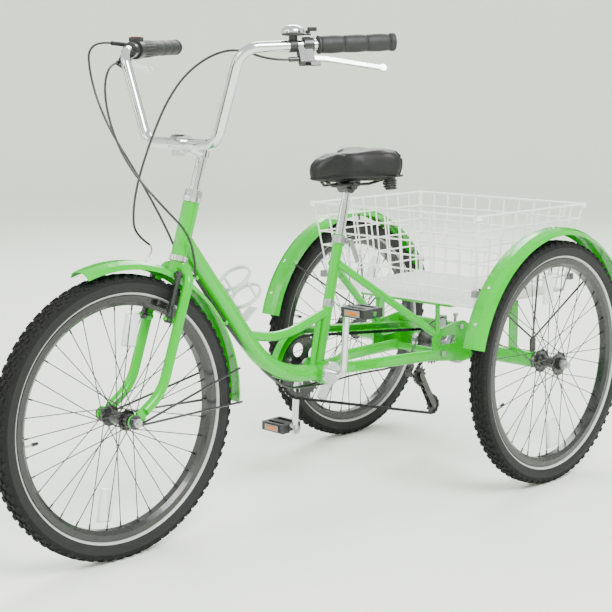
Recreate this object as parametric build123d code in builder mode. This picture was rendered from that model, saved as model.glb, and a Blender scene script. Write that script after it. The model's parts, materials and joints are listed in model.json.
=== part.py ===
"""Adult tricycle: step-through frame, steered front wheel, two rear wheels on one axle, wire basket.

Units are millimetres. +X is the way it rides, +Y is the rider's left, +Z is up.
The origin is on the ground under the middle of the whole tricycle.
"""

import os
from math import acos, atan2, cos, degrees, hypot, pi, radians, sin, sqrt, tan

from build123d import *

os.makedirs("parts", exist_ok=True)

# ---- driving dimensions ----
wheelbase = 1078.0
track = 674.0
tyre_radius = 303.0
tyre_width = 50.0
rim_radius = 259.5
rim_width = 32.0
rim_depth = 21.5
spoke_radius = 1.1
spoke_count = 36
tube_wall = 1.6

head_base = (904.0, 627.0)
head_angle = 71.5
head_length = 118.0
cup_flange = 20.5
head_tube_radius = 18.0
steerer_radius = 12.7
down_tube_radius = 20.0
top_tube_radius = 11.1
seat_tube_radius = 12.9
seat_post_radius = 11.1
strut_radius = 7.0
stay_radius = 9.5
chain_stay_size = (16.0, 28.0)
bottom_bracket = (471.0, 306.0)
shell_radius = 28.5
shell_half_width = 34.0
shell_bore_radius = 25.65
seat_tube_foot = (480.0, 312.0)
seat_tube_top = (402.0, 629.0)

plate_offset = 100.0
plate_thickness = 5.0
axle_radius = 7.5
axle_tube_radius = 21.0
axle_tube_end = 292.0
axle_end = 392.0

crank_length = 160.0
crank_radius = 8.0
crank_half_width = 76.0
pedal_line = 88.0
pedal_size = (62.0, 74.0, 26.0)
pedal_axle_radius = 6.0

chain_pitch = 12.7
chain_line = 60.0
ring_teeth = 38
sprocket_teeth = (14, 16, 18, 20, 22, 24, 28)
sprocket_pitch = 5.0
riding_sprocket = 1
pulley_teeth = 11
tooth_height = 4.0
tooth_thickness = 2.0
plate_gap = 4.0
link_thickness = 1.2
link_height = 8.0
guide_pulley = (24.0, 213.0)
tension_pulley = (-30.0, 121.0)

bar_radius = 11.1
bar_centre = (893.0, 866.0)
bar_half_crossbar = 112.0
bar_corner_rise = (190.0, 1062.0)
bar_end = (612.0, 347.0, 1074.0)
grip_radius = 18.0
grip_length = 165.0
lever_drop_angle = 60.0

front_fender_radius = 331.0
rear_fender_radius = 335.0
fender_half_width = 31.0
fender_depth = 17.0
fender_wall = 1.5
front_fender_span = (74.0, 184.0)
rear_fender_span = (14.0, 166.0)

basket_top = 675.0
basket_floor = 452.0
basket_half_width = 272.0
basket_ends = (-225.0, 214.0)
basket_flare = 30.0
basket_wire = 2.0
basket_rim_wire = 3.0
basket_pitch = 50.0
basket_rows = 6
mesh_pitch = 14.0

cable_radius = 2.5
running_gap = 0.06
seat_gap = 0.3
pad_gap = 1.5
bore_gap = 0.05

# ---- derived positions ----
rear_reach = rear_fender_radius * cos(radians(rear_fender_span[0]))
rear_axle_x = -(wheelbase + tyre_radius - rear_reach) / 2
front_axle_x = rear_axle_x + wheelbase
half_track = track / 2
axle_height = tyre_radius


def at(x, y, z):
    """A point given by its distance ahead of the rear axle, its side and its height."""
    return Vector(rear_axle_x + x, y, z)


def flat(point, y=0.0):
    """A point of the side view, (ahead of the rear axle, height), at side y."""
    return at(point[0], y, point[1])


steer_up = Vector(-cos(radians(head_angle)), 0, sin(radians(head_angle)))
steer_ahead = Vector(sin(radians(head_angle)), 0, cos(radians(head_angle)))
side = Vector(0, 1, 0)
head_bottom = flat(head_base)
head_top = head_bottom + steer_up * head_length
seat_top = flat(seat_tube_top)
seat_up = (seat_top - flat(seat_tube_foot)).normalized()
bracket = flat(bottom_bracket)
front_axle = Vector(front_axle_x, 0, axle_height)
rear_axle_centre = Vector(rear_axle_x, 0, axle_height)


def pitch_radius(teeth):
    """Radius of the circle through the chain's rollers on a sprocket."""
    return chain_pitch / (2 * sin(pi / teeth))


# ---- helpers that add to the part being built ----
def rod(start, end, radius, mode=Mode.ADD):
    """A round bar from start to end."""
    start, end = Vector(start), Vector(end)
    with BuildSketch(Plane(origin=start, z_dir=end - start)) as section:
        Circle(radius)
    extrude(section.sketch, amount=(end - start).length, mode=mode)


def disc(centre, radius, thickness, axis=None, mode=Mode.ADD):
    """A round plate centred on a point, with its axis across the tricycle unless given."""
    axis = Vector(0, 1, 0) if axis is None else axis.normalized()
    middle = Vector(centre)
    rod(middle - axis * (thickness / 2), middle + axis * (thickness / 2), radius, mode)


def bent_bar(points, bends, radius, mode=Mode.ADD):
    """A round bar that follows straight runs joined by round bends."""
    with BuildLine(mode=Mode.PRIVATE) as route:
        if bends:
            FilletPolyline(*points, radius=bends)
        else:
            Line(*points)
    wire = route.wire()
    with BuildSketch(Plane(origin=wire @ 0, z_dir=wire % 0)) as section:
        Circle(radius)
    sweep(section.sketch, path=wire, mode=mode)


def block(centre, x_dir, z_dir, size, mode=Mode.ADD):
    """A rectangular block whose faces follow two given directions."""
    middle, up = Vector(centre), z_dir.normalized()
    with BuildSketch(Plane(origin=middle - up * (size[2] / 2), x_dir=x_dir, z_dir=up)) as section:
        Rectangle(size[0], size[1])
    extrude(section.sketch, amount=size[2], mode=mode)


def spun(centre, outline, mode=Mode.ADD):
    """Turn an outline of (side, radius) points about a line across the tricycle."""
    with BuildSketch(Plane(origin=centre, x_dir=(0, 1, 0), z_dir=(1, 0, 0))) as section:
        with BuildLine():
            Polyline(*outline, close=True)
        make_face()
    revolve(section.sketch, axis=Axis(centre, (0, 1, 0)), mode=mode)


def save(part, name):
    """Label a finished piece and write it."""
    part.label = name
    export_step(part, f"parts/{name}.step")


# ---- front frame: head tube, down tube, top tube, seat tube, strut, bracket shell ----
down_tube_foot = flat(bottom_bracket)
down_tube_bend = flat((632.0, 314.0))
down_tube_head = flat((893.0, 659.0))
down_tube_bend_radius = 245.0
seat_bore_depth = 235.0
guide_stations = (0.20, 0.52)
down_direction = (down_tube_head - down_tube_bend).normalized()
down_under = Vector(down_direction.Z, 0, -down_direction.X)
cable_spread = 3.4
guide_size = (15.0, 7.0, 8.0)
cable_depth = down_tube_radius + cable_radius + 0.9

guide_points = [
    down_tube_head + (down_tube_bend - down_tube_head) * share + down_under * cable_depth
    for share in guide_stations
]
with BuildPart() as front_frame:
    rod(head_bottom, head_top, head_tube_radius)
    bent_bar([down_tube_head, down_tube_bend, down_tube_foot], [down_tube_bend_radius], down_tube_radius)
    bent_bar([flat((716.0, 428.0)), flat((600.0, 404.0)), flat((452.0, 447.0))], [260.0], top_tube_radius)
    rod(flat(seat_tube_foot), seat_top, seat_tube_radius)
    rod(flat((500.0, 318.0)), flat((476.0, 428.0)), strut_radius)
    disc(bracket, shell_radius, 2 * shell_half_width)
    for point in guide_points:
        block(point, side, down_direction, guide_size)
    # room for the lower cup, passages for the two cables, then the bores of the tubes and shell
    rod(head_bottom - steer_up * 14, head_bottom, cup_flange + 0.3, Mode.SUBTRACT)
    for point in guide_points:
        for lane in (-cable_spread, cable_spread):
            middle = point + side * lane
            rod(middle - down_direction * 10, middle + down_direction * 10, cable_radius + 0.15, Mode.SUBTRACT)
    rod(head_bottom - steer_up, head_top + steer_up, head_tube_radius - 3.0, Mode.SUBTRACT)
    rod(seat_top - seat_up * seat_bore_depth, seat_top + seat_up, seat_post_radius + bore_gap, Mode.SUBTRACT)
    disc(bracket, shell_bore_radius, 2 * shell_half_width + 2, mode=Mode.SUBTRACT)
save(front_frame.part, "front_frame")

# ---- rear frame: stays, side plates, bridges, axle tubes, basket carrier ----
chain_stay_height = 311.0
lower_bridge = (118.0, 309.0)
upper_bridge = (60.0, 372.0)
bridge_radius = 9.5
seat_stay_foot = (150.0, 362.0)
carrier_x = 150.0
carrier_half_width = 150.0
carrier_thickness = 10.0
carrier_height = basket_floor - 3.5 - carrier_thickness / 2
support_offset = 224.0
support_top = basket_floor - 3.5
bearing_radius = 17.0
plate_outline = [
    (-36.0, 284.0),
    (-38.0, 322.0),
    (-14.0, 352.0),
    (44.0, 385.0),
    (80.0, 385.0),
    (150.0, 374.0),
    (168.0, 352.0),
    (168.0, 297.0),
    (40.0, 279.0),
]


def flat_stay(points, bends):
    """A level stay of upright oval tube."""
    with BuildLine(mode=Mode.PRIVATE) as route:
        FilletPolyline(*points, radius=bends)
    wire = route.wire()
    with BuildSketch(Plane(origin=wire @ 0, x_dir=(0, 0, 1), z_dir=wire % 0)) as section:
        RectangleRounded(chain_stay_size[1], chain_stay_size[0], chain_stay_size[0] * 0.48)
    sweep(section.sketch, path=wire)


seat_stay_head = at(419.0, 10.0, 562.0)
with BuildPart() as rear_frame:
    for hand in (1, -1):
        with BuildSketch(Plane.XZ.offset(-hand * plate_offset - plate_thickness / 2)):
            with BuildLine():
                Polyline(*[(rear_axle_x + x, z) for x, z in plate_outline], close=True)
            make_face()
            fillet(vertices(), 7)
            with Locations((rear_axle_x + 108.0, 343.0)):
                RectangleRounded(64, 22, 9, mode=Mode.SUBTRACT)
        extrude(amount=plate_thickness)
        rod(
            at(seat_stay_head.X - rear_axle_x, hand * seat_stay_head.Y, seat_stay_head.Z),
            at(seat_stay_foot[0], hand * (plate_offset - 4), seat_stay_foot[1]),
            stay_radius,
        )
        rod(at(0, hand * (plate_offset - 4), axle_height), at(0, hand * axle_tube_end, axle_height), axle_tube_radius)
        # basket supports: one strap on each axle tube, one upright on each plate
        block(at(0, hand * support_offset, (312 + support_top) / 2), side, Vector(1, 0, 0), (4, support_top - 312, 34))
        rod(at(carrier_x, hand * plate_offset, 366), at(carrier_x, hand * plate_offset, carrier_height), 6.0)
    flat_stay([at(452, 18, chain_stay_height), at(402, 40, chain_stay_height), at(166, 97, chain_stay_height)], [70.0])
    flat_stay(
        [
            at(452, -18, chain_stay_height),
            at(385, -24, chain_stay_height),
            at(322, -62, chain_stay_height),
            at(lower_bridge[0], -64, chain_stay_height),
        ],
        [70.0, 70.0],
    )
    rod(flat(lower_bridge, -plate_offset), flat(lower_bridge, plate_offset), bridge_radius)
    rod(flat(upper_bridge, -plate_offset), flat(upper_bridge, plate_offset), bridge_radius)
    block(
        at(carrier_x, 0, carrier_height), side, Vector(0, 0, 1), (2 * carrier_half_width, 22, carrier_thickness)
    )
    # room for the seat tube, the bracket shell and the axle bearings
    rod(flat(seat_tube_foot), seat_top, seat_tube_radius + 0.02, Mode.SUBTRACT)
    disc(bracket, shell_radius + 0.02, 2 * shell_half_width + 30, mode=Mode.SUBTRACT)
    rod(at(0, -axle_tube_end - 1, axle_height), at(0, axle_tube_end + 1, axle_height), bearing_radius, Mode.SUBTRACT)
save(rear_frame.part, "rear_frame")

# ---- bearing cups: headset, bottom bracket, axle ----
headset_stack = 11.0
bearing_length = 14.0
steerer_hole = steerer_radius + running_gap
with BuildPart() as bearing_cups:
    for base, way in ((head_top, 1), (head_bottom, -1)):
        rod(base, base + steer_up * (way * headset_stack), cup_flange)
        rod(base - steer_up * (way * 10), base, head_tube_radius - 3.05)
        rod(base - steer_up * (way * 11), base + steer_up * (way * 12), steerer_hole, Mode.SUBTRACT)
    for hand in (1, -1):
        disc(bracket + side * (hand * (shell_half_width + 3.5)), 27.5, 7)
        disc(bracket + side * (hand * (shell_half_width - 5)), shell_bore_radius - 0.05, 10)
        disc(bracket + side * (hand * (shell_half_width - 2)), 11.0 + running_gap, 20, mode=Mode.SUBTRACT)
        for place in (plate_offset + 4, axle_tube_end - bearing_length / 2):
            disc(at(0, hand * place, axle_height), bearing_radius - bore_gap, bearing_length)
            disc(at(0, hand * place, axle_height), axle_radius + running_gap, bearing_length + 2, mode=Mode.SUBTRACT)
save(bearing_cups.part, "bearing_cups")

# ---- seat post, clamp, rails, pad ----
post_insert = 150.0
post_top = seat_top + seat_up * 104.0
post_neck = 30.0
saddle_nose = 503.0
saddle_tail = 252.0
saddle_half_width = 104.0
saddle_bottom = 762.0
saddle_top = 828.0
rail_height = 748.0
rail_offset = 22.0
with BuildPart() as seat_post:
    rod(seat_top - seat_up * post_insert, post_top - seat_up * post_neck, seat_post_radius)
    rod(post_top - seat_up * (post_neck + 2), post_top, 9.4)
save(seat_post.part, "seat_post")

clamp_centre = Vector(post_top.X, 0, rail_height)
with BuildPart() as saddle_frame:
    # clamp block with its bolt, on the neck of the post
    disc(clamp_centre - seat_up * 6, 15.0, 34)
    disc(clamp_centre - seat_up * 6, 5.5, 60)
    rod(seat_top, post_top + seat_up * 0.2, 9.45, Mode.SUBTRACT)
    for hand in (1, -1):
        disc(clamp_centre + side * (hand * 26) - seat_up * 3, 9.0, 6)
        rails = [
            at(saddle_nose - 48, hand * 9, saddle_bottom - 3.8),
            at(saddle_nose - 62, hand * 14, rail_height),
            at(330, hand * 30, rail_height),
            at(288, hand * 44, saddle_bottom - 3.8),
        ]
        bent_bar(rails, [14.0, 14.0], 3.5)
        # rear elastomer springs
        rod(at(288, hand * 60, saddle_bottom - 26), at(288, hand * 60, saddle_bottom - 0.4), 14.0)
        rod(at(288, hand * 40, saddle_bottom - 14), at(288, hand * 52, saddle_bottom - 14), 5.0)
save(saddle_frame.part, "saddle_frame")

saddle_sections = ((0.0, 0.97), (0.45, 1.0), (0.85, 0.94), (1.0, 0.8))
with BuildPart() as saddle_pad:
    middle = (saddle_nose + saddle_tail) / 2
    for rise, scale in saddle_sections:
        height = saddle_bottom + rise * (saddle_top - saddle_bottom)
        with BuildSketch(Plane.XY.offset(height)):
            with BuildLine():
                outline = [
                    (saddle_nose, 0),
                    (saddle_nose - 22, 21),
                    (400, 34),
                    (330, 84),
                    (290, saddle_half_width),
                    (258, 78),
                    (saddle_tail, 0),
                ]
                Spline(
                    *[(rear_axle_x + middle + (x - middle) * scale, y * scale) for x, y in outline],
                    tangents=((0, 1), (0, -1)),
                )
                mirror(about=Plane.XZ)
            make_face()
    loft()
save(saddle_pad.part, "saddle_pad")

# ---- seat binder lever ----
binder_centre = seat_top - seat_up * 12
binder_back = Vector(-seat_up.Z, 0, seat_up.X)
binder_bolt = binder_centre + binder_back * 22
binder_half = 11.0
lever_hinge = binder_bolt + side * 18
seat_lever_down = Vector(-0.42, 0, -0.9075)
with BuildPart() as seat_lever:
    rod(lever_hinge - side * 4, lever_hinge + side * 5, 6.0)
    block(lever_hinge + seat_lever_down * 30 + side * 2.5, side, seat_lever_down, (5, 13, 52))
    fillet(edges().filter_by(GeomType.LINE).group_by(Edge.length)[-1], 1.8)
save(seat_lever.part, "seat_lever")


# ---- wheels ----
def wheel_pieces(name, centre, flange_offset, flange_radius, hub_half, bore):
    """Tyre, rim, and the spokes with the hub shell, about a line across the tricycle."""
    half = tyre_width / 2
    bead, crown = rim_width / 2 - 3.4, tyre_radius
    with BuildPart() as tyre:
        with BuildSketch(Plane(origin=centre, x_dir=(0, 1, 0), z_dir=(1, 0, 0))):
            with BuildLine():
                Line((bead, rim_radius - 6), (bead, rim_radius + 0.6))
                Line((bead, rim_radius + 0.6), (half - 7.5, rim_radius + 2.5))
                ThreePointArc((half - 7.5, rim_radius + 2.5), (half, crown - 23), (half - 6, crown - 5))
                ThreePointArc((half - 6, crown - 5), (half - 15, crown - 1.2), (0, crown))
                Line((0, crown), (0, crown - 5))
                ThreePointArc((0, crown - 5), (half - 6, crown - 9), (half - 4, crown - 22))
                Line((half - 4, crown - 22), (half - 11, rim_radius + 2))
                Line((half - 11, rim_radius + 2), (bead - 3, rim_radius - 2))
                Line((bead - 3, rim_radius - 2), (bead - 3, rim_radius - 6))
                Line((bead - 3, rim_radius - 6), (bead, rim_radius - 6))
            make_face()
            mirror(about=Plane.YZ)
        revolve(axis=Axis(centre, (0, 1, 0)))
    save(tyre.part, f"{name}_tyre")
    edge, inner = rim_width / 2, rim_radius - rim_depth
    with BuildPart() as rim:
        spun(
            centre,
            [
                (edge, rim_radius),
                (edge, rim_radius - 13),
                (9, inner),
                (-9, inner),
                (-edge, rim_radius - 13),
                (-edge, rim_radius),
                (-edge + 2.8, rim_radius),
                (-edge + 3, rim_radius - 8),
                (-9, rim_radius - 14),
                (9, rim_radius - 14),
                (edge - 3, rim_radius - 8),
                (edge - 2.8, rim_radius),
            ],
        )
    save(rim.part, f"{name}_rim")
    # one set of four spokes: both flanges, leading and trailing
    group = spoke_count // 4
    step = 360 / spoke_count
    lace = 6 * step
    hook = 2.0 + spoke_radius + 0.15
    hole_circle = flange_radius - 3.5
    with BuildPart() as spoke_set:
        for slot in range(4):
            hand = 1 if slot % 2 == 0 else -1
            lead = 1 if slot < 2 else -1
            rim_angle = radians(slot * step)
            hub_angle = rim_angle + lead * radians(lace)
            flange = hand * flange_offset
            start = centre + Vector(
                hole_circle * cos(hub_angle), flange + lead * hook, hole_circle * sin(hub_angle)
            )
            end = centre + Vector((inner + 0.6) * cos(rim_angle), hand * 3, (inner + 0.6) * sin(rim_angle))
            rod(start, end, spoke_radius)
            rod(start, start - side * (lead * (2 * hook - 0.8)), spoke_radius)
            nipple = (start - end).normalized()
            rod(end, end + nipple * 12, 1.9)
    with BuildPart() as spokes:
        for turn in range(group):
            add(spoke_set.part.rotate(Axis(centre, (0, 1, 0)), turn * 4 * step))
        reach = flange_offset + 1.5
        spun(
            centre,
            [
                (-hub_half, bore),
                (-hub_half, 14),
                (-reach, 16),
                (-reach, flange_radius),
                (-reach + 3, flange_radius),
                (-reach + 3, 17),
                (-reach + 9, 14),
                (reach - 9, 14),
                (reach - 3, 17),
                (reach - 3, flange_radius),
                (reach, flange_radius),
                (reach, 16),
                (hub_half, 14),
                (hub_half, bore),
            ],
        )
    save(spokes.part, f"{name}_spokes")


front_axle_radius = 4.8
wheel_pieces("front", front_axle, 28.0, 22.0, 44.0, front_axle_radius + running_gap)
wheel_pieces("rear_left", rear_axle_centre + side * half_track, 26.0, 29.0, 36.0, axle_radius + bore_gap)
wheel_pieces("rear_right", rear_axle_centre - side * half_track, 26.0, 29.0, 36.0, axle_radius + running_gap)

# ---- rear axle, with its end nuts, and the brake drum ----
drum_place = 48.0
drum_radius = 41.0
drum_width = 18.0
with BuildPart() as rear_axle:
    rod(at(0, -axle_end, axle_height), at(0, axle_end, axle_height), axle_radius)
    for hand in (1, -1):
        with BuildSketch(Plane.XZ.offset(-hand * (half_track + 41.5))):
            with Locations((rear_axle_x, axle_height)):
                RegularPolygon(12.5, 6)
        extrude(amount=5, both=True)
    disc(at(0, 15, axle_height), 14.0, 14)
save(rear_axle.part, "rear_axle")

with BuildPart() as brake_drum:
    disc(at(0, drum_place, axle_height), drum_radius, drum_width)
    disc(at(0, drum_place + 4, axle_height), drum_radius - 4, drum_width - 4, mode=Mode.SUBTRACT)
    disc(at(0, drum_place, axle_height), 15.0, drum_width)
    disc(at(0, drum_place, axle_height), axle_radius + bore_gap, drum_width + 2, mode=Mode.SUBTRACT)
save(brake_drum.part, "brake_drum")

# ---- band brake: band round the drum, cover plate, and the pull arm ----
band_gap = 1.0
band_thickness = 2.4
arm_pivot = at(34.0, drum_place, axle_height + 44.0)
arm_side = 12.0
arm_tip = arm_pivot + Vector(-8, arm_side, 45)
cable_stop = Vector(arm_pivot.X + 38, arm_tip.Y, arm_tip.Z)
with BuildPart() as brake_band:
    disc(at(0, drum_place, axle_height), drum_radius + band_gap + band_thickness, drum_width - 4)
    disc(at(0, drum_place, axle_height), drum_radius + band_gap, drum_width, mode=Mode.SUBTRACT)
    # anchor strap to the upper bridge
    block(at(26.0, drum_place, 348.5), Vector(1, 0, 0), Vector(0, 1, 0), (26, 12, 8))
    block(at(44.0, drum_place, 357.0), Vector(0.85, 0, 0.53), Vector(0, 1, 0), (26, 10, 8))
    rod(at(0, drum_place - 20, axle_height), at(0, drum_place + 20, axle_height), drum_radius + band_gap, Mode.SUBTRACT)
    # upright for the cable's stop, standing on the bridge
    block(at(cable_stop.X - rear_axle_x, drum_place + 4, 379), side, Vector(0, 0, 1), (30, 5, 34))
    rod(cable_stop - Vector(5, 0, 0), cable_stop + Vector(7, 0, 0), 5.0)
    rod(flat(upper_bridge, -90), flat(upper_bridge, 90), bridge_radius + 0.05, Mode.SUBTRACT)
    disc(arm_pivot, 3.5 + running_gap, 60, mode=Mode.SUBTRACT)
save(brake_band.part, "brake_band")

with BuildPart() as brake_arm_rear:
    rod(arm_pivot - side * 6, arm_pivot + side * 14.5, 3.5)
    disc(arm_pivot + side * arm_side, 6.5, 5)
    rod(arm_pivot + side * arm_side, arm_tip, 4.0)
    disc(arm_tip, 5.5, 9)
save(brake_arm_rear.part, "brake_arm_rear")


# ---- sprockets ----
def toothed_disc(centre, teeth, thickness):
    """A sprocket blank with rounded gaps between its teeth."""
    pitch = pitch_radius(teeth)
    with BuildSketch(Plane.XZ.offset(-centre.Y - thickness / 2)) as section:
        with Locations((centre.X, centre.Z)):
            Circle(pitch + tooth_height * 0.55)
            with PolarLocations(pitch + 1.2, teeth):
                Circle(chain_pitch * 0.33, mode=Mode.SUBTRACT)
    extrude(section.sketch, amount=thickness)


with BuildPart() as freewheel:
    for place, teeth in enumerate(sprocket_teeth):
        middle = -(chain_line + sprocket_pitch * (riding_sprocket - place))
        toothed_disc(at(0, middle, axle_height), teeth, tooth_thickness)
    outer = chain_line + sprocket_pitch * (riding_sprocket + 0.5)
    inner_side = outer - sprocket_pitch * len(sprocket_teeth)
    rod(at(0, -outer, axle_height), at(0, -inner_side, axle_height), 20.0)
    disc(at(0, -chain_line, axle_height), axle_radius + running_gap, 120, mode=Mode.SUBTRACT)
save(freewheel.part, "freewheel")

ring_centre = bracket - side * chain_line
ring_reach = pitch_radius(ring_teeth)
with BuildPart() as chainring:
    with BuildSketch(Plane.XZ.offset(chain_line - tooth_thickness / 2)):
        with Locations((bracket.X, bracket.Z)):
            Circle(ring_reach + tooth_height * 0.55)
            with PolarLocations(ring_reach + 1.2, ring_teeth):
                Circle(chain_pitch * 0.33, mode=Mode.SUBTRACT)
            with PolarLocations(47, 5):
                Circle(17, mode=Mode.SUBTRACT)
            Circle(crank_radius + 3.05, mode=Mode.SUBTRACT)
    extrude(amount=tooth_thickness)
save(chainring.part, "chainring")

# ---- one-piece crank with the pedal axles ----
with BuildPart() as crank:
    bent_bar(
        [
            bracket + Vector(0, pedal_line, crank_length),
            bracket + Vector(0, crank_half_width, 0),
            bracket + Vector(0, -crank_half_width, 0),
            bracket + Vector(0, -pedal_line, -crank_length),
        ],
        [20.0, 20.0],
        crank_radius,
    )
    disc(bracket, 11.0, 2 * shell_half_width + 16)
    disc(ring_centre, 11.0, 8)
    for hand in (1, -1):
        eye = bracket + Vector(0, hand * pedal_line, hand * crank_length)
        disc(eye, 13.0, 15)
        rod(eye, eye + side * (hand * (14 + pedal_size[1])), pedal_axle_radius)
    # the drive pin that turns the chainring from the right arm
    rod(ring_centre + Vector(0, -1.1, -22), ring_centre + Vector(0, -14, -22), 4.0)
save(crank.part, "crank")


def pedal(name, hand):
    """Pedal: tread block round a barrel, with a grey cage and a reflector at each end."""
    eye = bracket + Vector(0, hand * pedal_line, hand * crank_length)
    middle = eye + side * (hand * (10 + pedal_size[1] / 2))
    length, width, height = pedal_size
    with BuildPart() as body:
        block(middle, Vector(1, 0, 0), side, (length, height - 4, width))
        for shift in (-1, 1):
            block(
                middle + Vector(shift * 17, 0, 0), Vector(1, 0, 0), Vector(0, 0, 1), (14, width - 22, height),
                Mode.SUBTRACT,
            )
        disc(middle, 11.0, width - 2)
        disc(middle, pedal_axle_radius + running_gap, width + 4, mode=Mode.SUBTRACT)
        for shift in (-1, 1):
            block(
                middle + Vector(shift * (length / 2 + 1.3), 0, 0), side, Vector(1, 0, 0), (40, 10, 2.6)
            )
    save(body.part, name)


pedal("pedal_left", 1)
pedal("pedal_right", -1)


# ---- chain ----
def tangent(first, second):
    """Where a straight run leaves one signed circle and meets the next, in the side view."""
    (x1, z1, r1), (x2, z2, r2) = first, second
    along_x, along_z = x2 - x1, z2 - z1
    gap = hypot(along_x, along_z)
    along_x, along_z = along_x / gap, along_z / gap
    lean = (r1 - r2) / gap
    rise = sqrt(1 - lean * lean)
    normal_x = along_x * lean - along_z * rise
    normal_z = along_z * lean + along_x * rise
    return (x1 + r1 * normal_x, z1 + r1 * normal_z), (x2 + r2 * normal_x, z2 + r2 * normal_z)


cog_reach = pitch_radius(sprocket_teeth[riding_sprocket])
pulley_reach = pitch_radius(pulley_teeth)
cog = (0.0, axle_height, cog_reach)
ring = (bottom_bracket[0], bottom_bracket[1], ring_reach)
lower_wheel = (*tension_pulley, pulley_reach)
upper_wheel = (*guide_pulley, -pulley_reach)
top_run = tangent(cog, ring)
return_run = tangent(ring, lower_wheel)
cage_run = tangent(lower_wheel, upper_wheel)
drop_run = tangent(upper_wheel, cog)


def wrap(entry, circle, exit_point):
    """Middle point of the chain's way round a sprocket."""
    x, z, reach = circle
    sense = 1 if reach > 0 else -1
    start = atan2(entry[1] - z, entry[0] - x)
    turn = (start - atan2(exit_point[1] - z, exit_point[0] - x)) * sense % (2 * pi)
    middle = start - sense * turn / 2
    return (x + abs(reach) * cos(middle), z + abs(reach) * sin(middle))


def chain_band(runs, pins):
    """Two rows of link plates along runs and wraps, with pins across the straight runs."""
    for row in (-1, 1):
        y = -chain_line + row * (plate_gap + link_thickness) / 2
        with BuildLine(mode=Mode.PRIVATE) as route:
            for run in runs:
                if len(run) == 2:
                    Line(flat(run[0], y), flat(run[1], y))
                else:
                    ThreePointArc(flat(run[0], y), flat(run[1], y), flat(run[2], y))
        wire = route.wire()
        with BuildSketch(Plane(origin=wire @ 0, x_dir=(0, 1, 0), z_dir=wire % 0)) as section:
            Rectangle(link_thickness, link_height)
        sweep(section.sketch, path=wire)
    for start, end in pins:
        length = hypot(end[0] - start[0], end[1] - start[1])
        count = int((length - 2 * pin_margin) / chain_pitch)
        for number in range(count + 1):
            share = (pin_margin + number * chain_pitch) / length
            x = start[0] + (end[0] - start[0]) * share
            z = start[1] + (end[1] - start[1]) * share
            disc(at(x, -chain_line, z), 1.9, plate_gap + 2 * link_thickness)


pin_margin = 34.0
with BuildPart() as chain_upper:
    chain_band(
        [
            (drop_run[1], wrap(drop_run[1], cog, top_run[0]), top_run[0]),
            top_run,
            (top_run[1], wrap(top_run[1], ring, return_run[0]), return_run[0]),
        ],
        [top_run],
    )
save(chain_upper.part, "chain_upper")

with BuildPart() as chain_lower:
    chain_band(
        [
            return_run,
            (return_run[1], wrap(return_run[1], lower_wheel, cage_run[0]), cage_run[0]),
            cage_run,
            (cage_run[1], wrap(cage_run[1], upper_wheel, drop_run[0]), drop_run[0]),
            drop_run,
        ],
        [return_run],
    )
save(chain_lower.part, "chain_lower")

# ---- derailleur: mount, link, cage and two pulleys ----
link_length = 36.0
link_rest_angle = 14.0
link_head = Vector(rear_axle_x + 26.0, -(chain_line + 22.0), 259.0)
link_foot = link_head + Vector(0, -sin(radians(link_rest_angle)), -cos(radians(link_rest_angle))) * link_length
cage_half = 6.6
cage_plate = 1.6
fore = Vector(1, 0, 0)
shift_stop = link_head + Vector(31.5, -2, 6)
plate_inner = plate_offset - plate_thickness / 2
with BuildPart() as derailleur_mount:
    rod(link_head - fore * 14, link_head + fore * 10, 3.0)
    block(link_head + Vector(-13.5, -2, 15), side, fore, (26, 44, 6))
    # stop for the cable, on a lug over the knuckle
    block(link_head + Vector(4, -4, 11.5), side, fore, (10, 5, 38))
    rod(shift_stop - fore * 12, shift_stop, 4.5)
    # hanger boss against the side plate
    rod(at(12.5, -(plate_inner - 0.1), 286), at(12.5, -(plate_inner - 9), 286), 8.0)
    rod(at(0, -130, axle_height), at(0, -60, axle_height), bearing_radius + 6, Mode.SUBTRACT)
save(derailleur_mount.part, "derailleur_mount")

with BuildPart() as derailleur_link:
    way = (link_foot - link_head).normalized()
    block((link_head + link_foot) * 0.5 + fore * 1.5, way, fore, (link_length, 9, 12))
    for place in (link_head, link_foot):
        rod(place - fore * 4.5, place + fore * 7.5, 6.0)
    rod(link_head - fore * 12, link_head + fore * 12, 3.0 + running_gap, Mode.SUBTRACT)
    rod(link_foot, link_foot + fore * 15, 3.0)
save(derailleur_link.part, "derailleur_link")

guide_centre = flat(guide_pulley, -chain_line)
tension_centre = flat(tension_pulley, -chain_line)
cage_way = (tension_centre - guide_centre).normalized()
cage_span = (tension_centre - guide_centre).length
with BuildPart() as derailleur_cage:
    for hand in (1, -1):
        middle = (guide_centre + tension_centre) * 0.5 + side * (hand * (cage_half + cage_plate / 2))
        with BuildSketch(Plane(origin=middle - side * (cage_plate / 2), x_dir=cage_way, z_dir=side)):
            SlotCenterToCenter(cage_span, 17)
        extrude(amount=cage_plate)
    for centre in (guide_centre, tension_centre):
        disc(centre, 2.6, 2 * (cage_half + cage_plate))
    # plate behind the link, with a slot for the link's pin
    block(link_foot + Vector(11.4, 3.0, -6), side, fore, (20, 24, 5))
    block(link_foot + Vector(11.4, 0, 1.1), side, fore, (7.6, 11.6, 9), Mode.SUBTRACT)
    outer_face = -(chain_line + cage_half + cage_plate / 2)
    arm_reach = outer_face - (link_foot.Y - 6)
    block(
        Vector(link_foot.X + 6.9, link_foot.Y - 6 + arm_reach / 2, link_foot.Z - 14), side, fore,
        (arm_reach, 8, 14),
    )
save(derailleur_cage.part, "derailleur_cage")

for name, centre in (("pulley_guide", guide_centre), ("pulley_tension", tension_centre)):
    with BuildPart() as pulley:
        toothed_disc(centre, pulley_teeth, tooth_thickness)
        disc(centre, 7.0, 2 * cage_half - 1.0)
        disc(centre, 2.6 + running_gap, 20, mode=Mode.SUBTRACT)
    save(pulley.part, name)

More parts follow.
